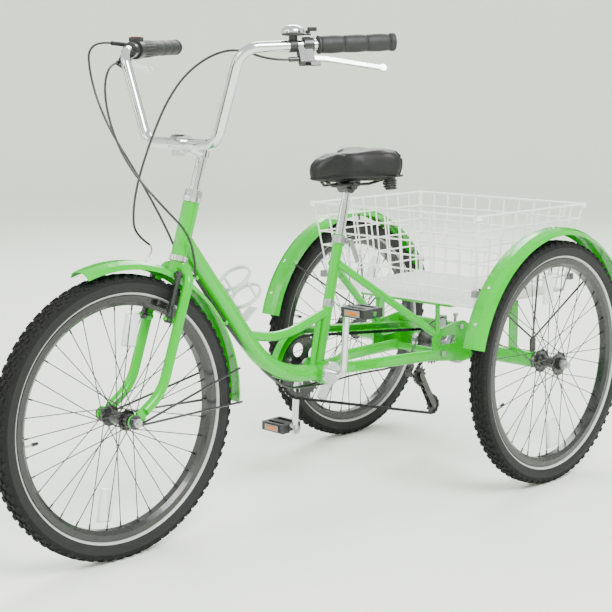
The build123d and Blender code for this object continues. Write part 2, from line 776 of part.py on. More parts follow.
# ---- chain guard: a channel over the upper run and round the front of the chainring ----
guard_reach = 15.0
guard_width = 20.0
guard_height = 17.0
guard_wall = 1.6
guard_rear = 0.22
guard_end_angle = 20.0
run_x, run_z = top_run[1][0] - top_run[0][0], top_run[1][1] - top_run[0][1]
run_length = hypot(run_x, run_z)
lift = (-run_z / run_length * guard_reach, run_x / run_length * guard_reach)
guard_start = (top_run[0][0] + run_x * guard_rear + lift[0], top_run[0][1] + run_z * guard_rear + lift[1])
guard_turn = (top_run[1][0] + lift[0], top_run[1][1] + lift[1])
guard_radius = ring_reach + guard_reach
guard_end = (
    ring[0] + guard_radius * cos(radians(guard_end_angle)),
    ring[1] + guard_radius * sin(radians(guard_end_angle)),
)
with BuildPart() as chain_guard:
    with BuildLine(mode=Mode.PRIVATE) as guard_route:
        Line(flat(guard_start, -chain_line), flat(guard_turn, -chain_line))
        middle_angle = (atan2(guard_turn[1] - ring[1], guard_turn[0] - ring[0]) + radians(guard_end_angle)) / 2
        ThreePointArc(
            flat(guard_turn, -chain_line),
            at(ring[0] + guard_radius * cos(middle_angle), -chain_line, ring[1] + guard_radius * sin(middle_angle)),
            flat(guard_end, -chain_line),
        )
    guard_wire = guard_route.wire()
    with BuildSketch(Plane(origin=guard_wire @ 0, x_dir=(0, 1, 0), z_dir=guard_wire % 0)):
        Rectangle(guard_width, guard_height)
        with Locations((guard_wall, 0)):
            Rectangle(guard_width, guard_height - 2 * guard_wall, mode=Mode.SUBTRACT)
    sweep(path=guard_wire)
    # bracket from the strut to the guard
    bracket_reach = chain_line - 4 - seat_tube_radius - seat_gap
    block(
        at(463, -(seat_tube_radius + seat_gap + bracket_reach / 2), ring[1] + guard_radius + guard_height / 2 - 1),
        side, Vector(0, 0, 1), (bracket_reach, 14, 3),
    )
save(chain_guard.part, "chain_guard")

# ---- fork ----
leg_offset = 52.5
hub_face = 50.0
pivot_drop = 132.0
pivot_ahead = 19.0
pivot_offset = 41.0
steer_base = head_bottom - steer_up * (headset_stack + 1.2)
steerer_top = head_top + steer_up * 34.0
leg_bend = at(1003.0, leg_offset, 352.0)
leg_radius = 11.0
brake_pivot = head_bottom - steer_up * (pivot_drop + 7) + steer_ahead * 6
with BuildPart() as fork:
    rod(steer_base, steerer_top, steerer_radius)
    rod(steer_base - steer_up * 22, steer_base, 16.5)
    for hand in (1, -1):
        shoulder = steer_base - steer_up * 12
        foot = at(1064.0, hand * leg_offset, 312.0)
        bent_bar(
            [
                shoulder + side * (hand * 4),
                shoulder + side * (hand * 30),
                shoulder - steer_up * 26 + side * (hand * leg_offset) + steer_ahead * 3,
                Vector(leg_bend.X, hand * leg_offset, leg_bend.Z),
                foot,
            ],
            [11.0, 24.0, 110.0],
            leg_radius,
        )
        # dropout plate, with the axle's slot
        with BuildSketch(Plane.XZ.offset(-hand * leg_offset - 2.5)):
            with Locations((front_axle_x, axle_height)):
                Circle(15)
            with BuildLine():
                Polyline(
                    (front_axle_x - 26, axle_height + 20),
                    (front_axle_x - 6, axle_height + 14),
                    (front_axle_x - 10, axle_height - 12),
                    (front_axle_x - 30, axle_height + 2),
                    close=True,
                )
            make_face()
            with Locations((front_axle_x, axle_height)):
                Circle(front_axle_radius + 0.1, mode=Mode.SUBTRACT)
        extrude(amount=5)
        # brake boss
        boss = brake_pivot + side * (hand * pivot_offset)
        rod(boss - steer_ahead * 4, boss + steer_ahead * (pivot_ahead - 6), 6.5)
        rod(boss, boss + steer_ahead * (pivot_ahead + 12), 4.0)
    # the wheel's room between the legs, and the bore of the steerer
    disc(front_axle, front_fender_radius + 0.4, 2 * 33.5, mode=Mode.SUBTRACT)
    for hand in (1, -1):
        disc(front_axle + side * (hand * 46), 20, 8, mode=Mode.SUBTRACT)
        disc(front_axle + side * (hand * (leg_offset + 8.5)), 34, 12, mode=Mode.SUBTRACT)
    rod(steerer_top - steer_up * 120, steerer_top + steer_up, bar_radius + bore_gap, Mode.SUBTRACT)
save(fork.part, "fork")

with BuildPart() as steering_fasteners:
    # headset lock nut and washer
    nut_base = head_top + steer_up * (headset_stack + 0.3)
    rod(nut_base, nut_base + steer_up * 15, 19.0)
    rod(nut_base - steer_up, steerer_top + steer_up, steerer_radius + 0.02, Mode.SUBTRACT)
    # lock ring under it on the fork crown
    rod(steer_base + steer_up * 0.1, steer_base + steer_up * 0.9, 18.5)
    rod(steer_base - steer_up, steer_base + steer_up * 2, steerer_radius + 0.02, Mode.SUBTRACT)
    # front axle, with its cones and nuts
    rod(front_axle - side * 72, front_axle + side * 72, front_axle_radius)
    for hand in (1, -1):
        disc(front_axle + side * (hand * 47.2), 8.5, 5.4)
        disc(front_axle + side * (hand * 63.2), 9.5, 9.6)
save(steering_fasteners.part, "steering_fasteners")


# ---- V-brake arms ----
pad_rise = 26.0
arm_top = 104.0
pad_inner = rim_width / 2 + pad_gap
with BuildPart() as left_arm:
    pivot = brake_pivot + side * pivot_offset + steer_ahead * pivot_ahead
    rod(pivot - steer_ahead * 6, pivot + steer_ahead * 6, 8.0)
    block(pivot + steer_up * (arm_top / 2), side, steer_up, (9, 11, arm_top))
    fillet(edges().filter_by(Axis(pivot, steer_up)), 1.5)
    rod(pivot - steer_ahead * 20, pivot + steer_ahead * 12.2, 4.0 + running_gap, Mode.SUBTRACT)
    # pad bolt, and the pad laid along the rim
    hold = pivot + steer_up * pad_rise
    outward = (Vector(hold.X, 0, hold.Z) - front_axle).normalized()
    pad_centre = front_axle + outward * (rim_radius - 7.5) + side * (pad_inner + 4.5)
    rod(hold - side * 20, hold + side * 10, 3.5)
    block(pad_centre, Vector(outward.Z, 0, -outward.X), side, (54, 10, 9))
    # cable clamp
    rod(pivot + steer_up * (arm_top - 8) - steer_ahead * 9, pivot + steer_up * (arm_top - 8) + steer_ahead * 10, 4.5)
save(left_arm.part, "brake_arm_left")
with BuildPart() as right_arm:
    add(left_arm.part.mirror(Plane.XZ))
save(right_arm.part, "brake_arm_right")

# ---- stem ----
clamp_radius = 19.0
bar_clamp = flat(bar_centre)
quill_top = head_top + steer_up * 113
with BuildPart() as stem:
    rod(head_top - steer_up * 60, quill_top, bar_radius)
    rod(quill_top - steer_up * 14, quill_top + steer_up * 3, 14.0)
    rod(quill_top + steer_up * 3, quill_top + steer_up * 9, 6.0)
    rod(quill_top - steer_up * 6, bar_clamp, 11.5)
    disc(bar_clamp, clamp_radius, 40)
    block(bar_clamp + Vector(8, 0, -17), Vector(1, 0, 0), side, (14, 16, 26))
    disc(bar_clamp, bar_radius + bore_gap, 60, mode=Mode.SUBTRACT)
save(stem.part, "stem")

# ---- handlebar ----
rise_corner = at(bar_centre[0], *bar_corner_rise)
bar_tip = at(*bar_end)
bar_way = (bar_tip - rise_corner).normalized()
bar_run = (bar_tip - rise_corner).length


def mirrored(vector, hand):
    """The same vector on the rider's left (1) or right (-1)."""
    return Vector(vector.X, vector.Y * hand, vector.Z)


def along_bar(distance, hand):
    """A point on the straight outer run of the bar, measured from its upper bend."""
    return mirrored(rise_corner + bar_way * distance, hand)


bar_points = [
    bar_tip,
    rise_corner,
    at(bar_centre[0], bar_half_crossbar, bar_centre[1]),
    at(bar_centre[0], -bar_half_crossbar, bar_centre[1]),
    mirrored(rise_corner, -1),
    mirrored(bar_tip, -1),
]
bar_bends = [48.0, 40.0, 40.0, 48.0]
with BuildPart() as handlebar:
    bent_bar(bar_points, bar_bends, bar_radius)
save(handlebar.part, "handlebar")


def sleeve(start, end, hand, radius, hole=bar_radius + bore_gap):
    """A sleeve on the bar between two distances from the upper bend."""
    rod(along_bar(start, hand), along_bar(end, hand), radius)
    rod(along_bar(start - 1, hand), along_bar(end + 1, hand), hole, Mode.SUBTRACT)


grip_start = bar_run - grip_length + 3
twist_start = 92.0
twist_end = 160.0
with BuildPart() as grips:
    for hand, start in ((1, grip_start), (-1, twist_end + 0.5)):
        rod(along_bar(start, hand), along_bar(bar_run + 3, hand), grip_radius)
        rod(along_bar(bar_run - 6, hand), along_bar(bar_run + 3, hand), grip_radius + 1.5)
        rod(along_bar(start - 1, hand), along_bar(bar_run, hand), bar_radius + bore_gap, Mode.SUBTRACT)
save(grips.part, "grips")

with BuildPart() as twist_grip:
    sleeve(twist_start, twist_end, -1, grip_radius + 0.6, bar_radius + running_gap)
    for rib in range(18):
        turn = 2 * pi * rib / 18
        out = bar_way.cross(Vector(0, 0, 1)).normalized()
        up = out.cross(bar_way).normalized()
        spoke = mirrored(out * cos(turn) + up * sin(turn), -1) * (grip_radius + 0.6)
        rod(along_bar(twist_start + 6, -1) + spoke, along_bar(twist_end - 8, -1) + spoke, 1.2)
save(twist_grip.part, "twist_grip")

outlet = along_bar(79, -1) + Vector(14, -8, 10)
outlet_way = Vector(46, -4, 4).normalized()
with BuildPart() as shifter_body:
    sleeve(66, twist_start - 0.5, -1, 21.5)
    # gear window and the cable's outlet
    top = along_bar(79, -1) + Vector(0, 0, 23)
    block(top, mirrored(bar_way, -1), Vector(0, 0, 1), (24, 26, 9))
    rod(outlet, outlet + outlet_way * 46, 5.0)
    rod(along_bar(50, -1), along_bar(twist_start + 5, -1), bar_radius + bore_gap, Mode.SUBTRACT)
save(shifter_body.part, "shifter_body")

# ---- brake levers, with their mounts on the bar ----
drop = radians(lever_drop_angle)
lever_out = Vector(-bar_way.Y, bar_way.X, 0).normalized() * -1
reach_left = lever_out * cos(drop) + Vector(0, 0, -1) * sin(drop)
lever_reach = 31.0
lever_sweep = 29.0
lever_length = 150.0
left_mount_at = 140.0
right_mount_at = 51.0
barrel_length = 22.0


def lever_frame(mount_at, hand):
    """Pivot point, way along the bar, way out to the lever, and the pivot's axis."""
    out = mirrored(reach_left, hand)
    way = mirrored(bar_way, hand)
    return along_bar(mount_at, hand) + out * lever_reach, way, out, way.cross(out).normalized()


def lever_blade(name, mount_at, hand, run_length_here):
    """The lever: a tapered blade with a rounded knuckle and a hooked end."""
    pivot, way, out, axis = lever_frame(mount_at, hand)
    tip = pivot + way * run_length_here + out * lever_sweep
    knee = pivot + way * 34 + out * 3
    blade_way = (tip - knee).normalized()
    with BuildPart() as blade:
        rod(pivot - axis * 5, pivot + axis * 5, 7.0)
        block((pivot + knee) * 0.5 + way * 3, (knee - pivot), axis, ((knee - pivot).length, 9, 8))
        block((knee + tip) * 0.5, blade_way, axis, ((tip - knee).length + 4, 8.4, 7.4))
        rod(tip - axis * 4.2, tip + axis * 4.2, 7.6)
        rod(pivot - axis * 8, pivot + axis * 8, 3.0 + running_gap, Mode.SUBTRACT)
    save(blade.part, name)


lever_blade("brake_lever_left", left_mount_at, 1, lever_length)
lever_blade("brake_lever_right", right_mount_at, -1, lever_length + 30)

with BuildPart() as lever_mounts:
    for mount_at, hand in ((left_mount_at, 1), (right_mount_at, -1)):
        pivot, way, out, axis = lever_frame(mount_at, hand)
        rod(along_bar(mount_at - 10, hand), along_bar(mount_at + 10, hand), 17.0)
        # body in two cheeks round the lever's knuckle
        block(along_bar(mount_at, hand) + out * 20 - way * 8, way, axis, (30, 44, 19))
        block(pivot + way * 6, way, axis, (34, 26, 10.8), Mode.SUBTRACT)
        rod(pivot - axis * 9.5, pivot + axis * 9.5, 3.0)
        # cable barrel
        rod(pivot - way * 22, pivot - way * (22 + barrel_length), 5.0)
    bent_bar(bar_points, bar_bends, bar_radius + bore_gap, Mode.SUBTRACT)
    # parking tab on the left mount
    pivot, way, out, axis = lever_frame(left_mount_at, 1)
    block(pivot + way * 8 + out * 16 - axis * 7.5, way, axis, (20, 8, 4))
save(lever_mounts.part, "lever_mounts")

# ---- bell ----
bell_at = 109.0
bell_centre = along_bar(bell_at, 1)
bell_radius = 23.0
bell_pivot = bell_centre + Vector(0, 0, 26.5) + mirrored(bar_way, 1) * (bell_radius + 8)
with BuildPart() as bell:
    rod(along_bar(bell_at - 5, 1), along_bar(bell_at + 5, 1), 13.0)
    rod(bell_centre, bell_centre + Vector(0, 0, 20), 7.0)
    rod(bell_centre + Vector(0, 0, 20), bell_centre + Vector(0, 0, 23), bell_radius)
    rod(along_bar(bell_at - 20, 1), along_bar(bell_at + 20, 1), bar_radius + bore_gap, Mode.SUBTRACT)
    # tab and pin for the striking lever
    block(bell_centre + Vector(0, 0, 21.5) + bar_way * 22, bar_way, Vector(0, 0, 1), (28, 10, 3))
    rod(bell_pivot - Vector(0, 0, 4), bell_pivot - Vector(0, 0, 0.2), 2.0)
    # the dome, a shell on a post
    rod(bell_centre + Vector(0, 0, 22), bell_centre + Vector(0, 0, 43), 4.0)
    with BuildSketch(Plane(origin=bell_centre, x_dir=(1, 0, 0), z_dir=(0, -1, 0))):
        with BuildLine():
            Polyline(
                (3.5, 40.5), (12, 38.5), (18, 34), (bell_radius - 1.5, 26), (bell_radius, 26), (20, 34.5),
                (13.5, 40), (3.5, 42.5), close=True,
            )
        make_face()
    revolve(axis=Axis(bell_centre, (0, 0, 1)))
save(bell.part, "bell")

with BuildPart() as bell_lever:
    rod(bell_pivot - Vector(0, 0, 3), bell_pivot + Vector(0, 0, 3), 5.0)
    block(bell_pivot + bar_way * 9 + Vector(0, 0, 5), bar_way, Vector(0, 0, 1), (18, 8, 8))
    rod(bell_pivot - Vector(0, 0, 4), bell_pivot + Vector(0, 0, 0), 2.0 + running_gap, Mode.SUBTRACT)
save(bell_lever.part, "bell_lever")


# ---- fenders ----
def fender(centre, radius, span):
    """A ridged band round the top of a wheel, with turned-down edges."""
    start = radians(span[0])
    half, deep, wall = fender_half_width, fender_depth, fender_wall
    plane = Plane(origin=centre, x_dir=(0, 1, 0), z_dir=(sin(start), 0, -cos(start)))
    with BuildSketch(plane) as section:
        with BuildLine():
            Polyline(
                (-half, radius - deep),
                (-half * 0.78, radius - deep * 0.38),
                (-half * 0.34, radius),
                (half * 0.34, radius),
                (half * 0.78, radius - deep * 0.38),
                (half, radius - deep),
                (half - wall, radius - deep),
                (half * 0.78 - wall * 0.8, radius - deep * 0.38 - wall * 0.8),
                (half * 0.34 - wall * 0.3, radius - wall),
                (-half * 0.34 + wall * 0.3, radius - wall),
                (-half * 0.78 + wall * 0.8, radius - deep * 0.38 - wall * 0.8),
                (-half + wall, radius - deep),
                close=True,
            )
        make_face()
    revolve(section.sketch, axis=Axis(centre, (0, -1, 0)), revolution_arc=span[1] - span[0])


with BuildPart() as rear_fenders:
    for hand in (1, -1):
        fender(rear_axle_centre + side * (hand * half_track), rear_fender_radius, rear_fender_span)
save(rear_fenders.part, "rear_fenders")

with BuildPart() as front_fender:
    fender(front_axle, front_fender_radius, front_fender_span)
save(front_fender.part, "front_fender")


def on_circle(centre, radius, angle, y):
    """A point on a circle about a wheel's centre, at side y."""
    turn = radians(angle)
    return Vector(centre.X + radius * cos(turn), y, centre.Z + radius * sin(turn))


stay_wire = 2.5
with BuildPart() as front_fender_stays:
    for hand in (1, -1):
        edge = hand * (fender_half_width + stay_wire + 0.3)
        for root, angle in ((215.0, 183.0), (203.0, 169.0)):
            rod(
                on_circle(front_axle, 13, root, hand * 60.4),
                on_circle(front_axle, front_fender_radius - 10, angle, edge),
                stay_wire,
            )
        disc(front_axle + side * (hand * 56.7), 15.5, 3.0)
        disc(front_axle + side * (hand * 56.7), front_axle_radius + 0.1, 8, mode=Mode.SUBTRACT)
save(front_fender_stays.part, "front_fender_stays")

stay_root = 292.0 - 8
with BuildPart() as rear_fender_stays:
    for hand in (1, -1):
        root = at(0, hand * stay_root, axle_height + 52)
        block(at(0, hand * stay_root, axle_height + 37), Vector(1, 0, 0), Vector(0, 0, 1), (18, 6, 32))
        inner_edge = hand * (half_track - fender_half_width - stay_wire - 0.3)
        for angle in (40.0, 90.0, 140.0):
            rod(root, on_circle(rear_axle_centre, rear_fender_radius - 12, angle, inner_edge), stay_wire)
    for hand in (1, -1):
        rod(at(0, hand * 250, axle_height), at(0, hand * 300, axle_height), axle_tube_radius + 0.05, Mode.SUBTRACT)
save(rear_fender_stays.part, "rear_fender_stays")

# ---- basket: four flared wire panels with caps, and a fine mesh floor ----
floor_ends = (basket_ends[0] + basket_flare, basket_ends[1] - basket_flare)
floor_half = basket_half_width - basket_flare
cap_radius = 9.0


def corner(low, front, hand):
    """A corner of the basket at its floor or its rim."""
    ends, half = (floor_ends, floor_half) if low else (basket_ends, basket_half_width)
    return at(ends[1] if front else ends[0], hand * half, basket_floor if low else basket_top)


def wire_panel(low_a, low_b, top_a, top_b, inward):
    """A panel of upright and level wires between four corners; the level wires lie inside."""
    width = (top_b - top_a).length
    count = round(width / basket_pitch)
    for number in range(count + 1):
        share = number / count
        rod(low_a + (low_b - low_a) * share, top_a + (top_b - top_a) * share, basket_wire)
    for row in range(basket_rows + 1):
        share = row / basket_rows
        wire = basket_rim_wire if row in (0, basket_rows) else basket_wire
        shift = inward * (basket_wire + wire - 1.0) if 0 < row < basket_rows else Vector(0, 0, 0)
        rod(low_a + (top_a - low_a) * share + shift, low_b + (top_b - low_b) * share + shift, wire)


panel_gap = basket_rim_wire + 0.4
with BuildPart() as basket_sides:
    for front in (True, False):
        inward = Vector(-1 if front else 1, 0, 0)
        inset = side * panel_gap
        wire_panel(
            corner(True, front, -1) + inset,
            corner(True, front, 1) - inset,
            corner(False, front, -1) + inset,
            corner(False, front, 1) - inset,
            inward,
        )
    for hand in (1, -1):
        inset = fore * panel_gap
        wire_panel(
            corner(True, False, hand) + inset,
            corner(True, True, hand) - inset,
            corner(False, False, hand) + inset,
            corner(False, True, hand) - inset,
            side * -hand,
        )
save(basket_sides.part, "basket_sides")

with BuildPart() as basket_caps:
    for front in (True, False):
        for hand in (1, -1):
            top = corner(False, front, hand)
            rod(top - Vector(0, 0, 8), top + Vector(0, 0, 4), cap_radius)
save(basket_caps.part, "basket_caps")

mesh_wire = 1.4
with BuildPart() as basket_bottom:
    inner_x = (floor_ends[0] + 8, floor_ends[1] - 8)
    inner_y = floor_half - 8
    rows = int((inner_x[1] - inner_x[0]) / mesh_pitch)
    middle_x = (inner_x[0] + inner_x[1]) / 2
    with BuildSketch(Plane(origin=at(middle_x, -inner_y, basket_floor + 2), x_dir=(1, 0, 0), z_dir=(0, 1, 0))):
        with GridLocations(mesh_pitch, 1, rows + 1, 1):
            Circle(mesh_wire)
    extrude(amount=2 * inner_y)
    columns = int(2 * inner_y / basket_pitch)
    half_x = (inner_x[1] - inner_x[0]) / 2 + 3
    with BuildSketch(Plane(origin=at(middle_x - half_x, 0, basket_floor), x_dir=(0, 1, 0), z_dir=(1, 0, 0))):
        with GridLocations(basket_pitch, 1, columns + 1, 1):
            Circle(mesh_wire)
    extrude(amount=2 * half_x)
save(basket_bottom.part, "basket_bottom")

# ---- bottle cage: two bent hoops and a foot on a back strip ----
cage_low = flat((741.0, 458.0))
cage_out = down_under * -1
cage_foot = cage_low + cage_out * (down_tube_radius + 2.2)
with BuildPart() as bottle_cage:
    block(cage_foot + down_direction * 46, side, down_direction, (12, 3.6, 112))
    for height, hoop in ((84.0, 37.0), (30.0, 37.0)):
        middle = cage_foot + down_direction * height + cage_out * (hoop + 0.5)
        with BuildSketch(Plane(origin=middle, x_dir=side, z_dir=down_direction)):
            Circle(hoop + 2)
            Circle(hoop - 2, mode=Mode.SUBTRACT)
        extrude(amount=4, both=True)
    block(cage_foot - down_direction * 8 + cage_out * 18, side, down_direction, (26, 40, 4))
    for hand in (1, -1):
        low = cage_foot + down_direction * 30 + cage_out * 37.5 + side * (hand * 37)
        high = cage_foot + down_direction * 84 + cage_out * 37.5 + side * (hand * 37)
        rod(low, high, 3.0)
save(bottle_cage.part, "bottle_cage")

# ---- fasteners on the frame: seat binder, stay bolts, guard screw ----
with BuildPart() as frame_fasteners:
    rod(binder_centre - seat_up * 9, binder_centre + seat_up * 9, seat_tube_radius + 3.4)
    for hand in (1, -1):
        block(binder_bolt + side * (hand * 6) - binder_back * 4, binder_back, side, (18, 14, 6))
    rod(binder_bolt - side * binder_half, binder_bolt + side * (binder_half + 2.5), 3.5)
    rod(seat_top - seat_up * 40, seat_top + seat_up * 2, seat_tube_radius + 0.03, Mode.SUBTRACT)
    for hand in (1, -1):
        bolt = at(132, hand * (plate_offset + plate_thickness / 2 + 2.6), 312)
        disc(bolt, 7.5, 5)
        disc(at(60, hand * (plate_offset + plate_thickness / 2 + 2.6), 372), 6.5, 5)
save(frame_fasteners.part, "frame_fasteners")


# ---- cables ----
def bend_radii(points):
    """As large an arc at each corner as its two runs allow."""
    radii = []
    for before, here, after in zip(points, points[1:], points[2:]):
        run_in, run_out = here - before, after - here
        turn = acos(max(-1.0, min(1.0, run_in.normalized().dot(run_out.normalized()))))
        radii.append(0.45 * min(run_in.length, run_out.length) / tan(turn / 2))
    return radii


def cable(name, points):
    """A cable housing along its route, printed with its length and bend radii."""
    radii = bend_radii(points)
    with BuildPart() as housing:
        bent_bar(points, radii, cable_radius)
    runs = sum((b - a).length for a, b in zip(points, points[1:]))
    length = housing.part.volume / (pi * cable_radius**2)
    print(name, "length", round(length), "runs", round(runs), "radii", [round(r) for r in radii])
    save(housing.part, name)


left_pivot, left_way, _, _ = lever_frame(left_mount_at, 1)
right_pivot, right_way, _, _ = lever_frame(right_mount_at, -1)
left_barrel = left_pivot - left_way * (22.3 + barrel_length)
right_barrel = right_pivot - right_way * (22.3 + barrel_length)
noodle_end = brake_pivot + steer_ahead * pivot_ahead + steer_up * 152 - side * 76
cable(
    "front_brake_cable",
    [
        left_barrel,
        left_barrel - left_way * 40,
        at(862, 150, 1062),
        at(898, 108, 1050),
        at(930, 64, 1012),
        at(950, 28, 958),
        at(962, 0, 898),
        at(970, -26, 838),
        at(976, -48, 778),
        at(974, -66, 718),
        at(962, -76, 672),
        noodle_end,
    ],
)

lanes = [guide_points[0] + side * (hand * cable_spread) for hand in (1, -1)]
outlet_end = outlet + outlet_way * 46.3
cable(
    "shift_cable",
    [
        outlet_end,
        outlet_end + outlet_way * 62,
        at(990, -180, 1000),
        at(988, -130, 905),
        at(950, -78, 800),
        at(908, -44, 696),
        at(880, -25, 612),
        lanes[1] + down_direction * 16 - side * 6,
        lanes[1] + down_direction * 4.3,
    ],
)
cable(
    "rear_brake_cable",
    [
        right_barrel,
        right_barrel - right_way * 42,
        at(978, -150, 985),
        at(1004, -98, 905),
        at(1006, -36, 820),
        at(968, 22, 742),
        at(910, 40, 680),
        at(880, 25, 612),
        lanes[0] + down_direction * 16 + side * 6,
        lanes[0] + down_direction * 4.3,
    ],
)

# both cables under the down tube, then along the stays to the drum brake and the derailleur
under_bend = at(650, 0, 289)
under_shell = at(471, 0, bottom_bracket[1] - shell_radius - cable_radius - 5.5)
stay_under = chain_stay_height - chain_stay_size[1] / 2 - cable_radius - 3.5
with BuildPart() as frame_cables:
    for lane, tail in (
        (
            cable_spread,
            [
                at(400, 38, stay_under),
                at(228, 72, stay_under),
                at(162, cable_stop.Y, cable_stop.Z - 3),
                cable_stop + fore * 7.3,
            ],
        ),
        (
            -cable_spread,
            [
                at(330, -40, stay_under),
                at(190, -58, stay_under - 6),
                shift_stop + fore * 60 + Vector(0, 0, 4),
                shift_stop + fore * 0.3,
            ],
        ),
    ):
        shift = side * lane
        points = [guide_points[0] + shift - down_direction * 4.3, under_bend + shift, under_shell + shift, *tail]
        bent_bar(points, bend_radii(points), cable_radius)
    for point in guide_points:
        block(point, side, down_direction, guide_size, Mode.SUBTRACT)
save(frame_cables.part, "frame_cables")
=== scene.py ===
"""Adult tricycle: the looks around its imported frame."""

import json
import math

import bmesh
import bpy
from mathutils import Matrix, Vector


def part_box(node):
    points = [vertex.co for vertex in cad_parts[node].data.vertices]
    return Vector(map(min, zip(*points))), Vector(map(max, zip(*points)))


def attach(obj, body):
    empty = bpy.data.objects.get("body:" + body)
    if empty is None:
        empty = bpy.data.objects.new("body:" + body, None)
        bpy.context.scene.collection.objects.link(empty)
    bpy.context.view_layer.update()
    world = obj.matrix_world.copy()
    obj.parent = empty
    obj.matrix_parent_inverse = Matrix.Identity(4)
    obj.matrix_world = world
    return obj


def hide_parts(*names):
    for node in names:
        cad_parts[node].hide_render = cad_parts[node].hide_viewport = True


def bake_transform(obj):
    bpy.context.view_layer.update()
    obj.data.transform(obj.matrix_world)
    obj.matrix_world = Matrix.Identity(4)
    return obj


bl_info = {
    "name": "Adult Tricycle",
    "version": (1, 0, 0),
    "blender": (4, 5, 0),
    "location": "View3D > Sidebar > Tricycle",
    "description": "Builds the tyres, saddle, chain, cables, grips and finishes of an adult tricycle",
    "category": "Object",
}

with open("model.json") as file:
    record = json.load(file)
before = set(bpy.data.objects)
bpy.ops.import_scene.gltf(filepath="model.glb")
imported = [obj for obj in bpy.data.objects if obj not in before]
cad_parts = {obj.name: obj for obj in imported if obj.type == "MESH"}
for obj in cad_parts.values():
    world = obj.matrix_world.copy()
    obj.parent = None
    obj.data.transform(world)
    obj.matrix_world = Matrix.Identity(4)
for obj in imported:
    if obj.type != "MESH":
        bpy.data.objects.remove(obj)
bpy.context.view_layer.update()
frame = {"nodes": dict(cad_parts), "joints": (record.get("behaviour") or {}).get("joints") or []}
JOINTS = {joint["name"]: joint for joint in frame["joints"]}


def joint_place(name):
    """Where a joint is at rest."""
    return Vector(JOINTS[name]["pos_m"])


def joint_axis(name):
    """The direction of a joint's axis."""
    return Vector(JOINTS[name]["axis"]).normalized()


def mirrored(point, hand):
    """A point on the rider's left (1) or right (-1)."""
    return Vector((point[0], point[1] * hand, point[2]))


FRONT_AXLE = joint_place("front_wheel_spin")
REAR_AXLE = joint_place("drive_axle_spin")
HALF_TRACK = abs(joint_place("right_wheel_spin").y)
TYRE_RADIUS = (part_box("front_tyre")[1].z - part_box("front_tyre")[0].z) / 2
RIM_RADIUS = (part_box("front_rim")[1].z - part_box("front_rim")[0].z) / 2
ACROSS = Vector((0, 1, 0))
UP = Vector((0, 0, 1))
BAR_CORNER = Vector((0.3650, 0.190, 1.062))
BAR_TIP = Vector((0.0840, 0.347, 1.074))
BAR_WAY = (BAR_TIP - BAR_CORNER).normalized()
BAR_RUN = (BAR_TIP - BAR_CORNER).length
BAR_RADIUS = 0.0111
STEER_UP = joint_axis("steer")
STEER_AHEAD = Vector((STEER_UP.z, 0, -STEER_UP.x))
BRAKE_PIVOT = Vector((0.4258, 0.0, 0.4971))
VALVE_TURN = 74
REFLECTOR_REACH = 0.186
FENDER_RIVET_REACH = {"rear": 0.3352, "front": 0.3312}
WHEELS = (
    ("front", "front_wheel", FRONT_AXLE, -78),
    ("rear_left", "drive_axle", REAR_AXLE + ACROSS * HALF_TRACK, -95),
    ("rear_right", "free_wheel_right", REAR_AXLE - ACROSS * HALF_TRACK, -58),
)


class TricycleSizes(bpy.types.PropertyGroup):
    """Sizes of the pieces that are added to the frame."""

    knob_height: bpy.props.FloatProperty(
        name="Knob height", description="How far the tread blocks stand out", default=0.0034, unit="LENGTH"
    )
    knobs_round: bpy.props.IntProperty(
        name="Knobs round", description="Tread blocks in one row", default=76
    )
    cable_radius: bpy.props.FloatProperty(
        name="Cable radius", description="Radius of a cable housing", default=0.0025, unit="LENGTH"
    )
    chain_pitch: bpy.props.FloatProperty(
        name="Chain pitch",
        description="Distance from one chain pin to the next",
        default=0.0127,
        unit="LENGTH",
    )
    grip_radius: bpy.props.FloatProperty(
        name="Grip radius", description="Radius of a handlebar grip", default=0.0175, unit="LENGTH"
    )
    bell_radius: bpy.props.FloatProperty(
        name="Bell radius", description="Radius of the bell's dome", default=0.0235, unit="LENGTH"
    )
    saddle_puff: bpy.props.FloatProperty(
        name="Saddle puff", description="Most that the saddle's cover may swell", default=0.007, unit="LENGTH"
    )


def paint_colour(name, description, value):
    """A colour setting."""
    return bpy.props.FloatVectorProperty(
        name=name, description=description, default=value, size=3, min=0, max=1, subtype="COLOR"
    )


class TricycleColours(bpy.types.PropertyGroup):
    """Colours of the finishes."""

    paint: paint_colour("Paint", "Gloss paint of the frame", (0.001, 0.40, 0.0))
    wire: paint_colour("Basket wire", "Coating of the basket's wires", (0.86, 0.86, 0.84))
    rubber: paint_colour("Tyre", "Rubber of the tyres", (0.005, 0.005, 0.0053))
    vinyl: paint_colour("Saddle vinyl", "Cover of the saddle", (0.005, 0.005, 0.0055))
    amber: paint_colour("Amber", "Reflectors on the pedals", (0.50, 0.13, 0.015))
    red: paint_colour("Red", "Gear window", (0.45, 0.02, 0.015))
    floor: paint_colour("Floor", "Floor and backdrop", (0.90, 0.94, 0.86))


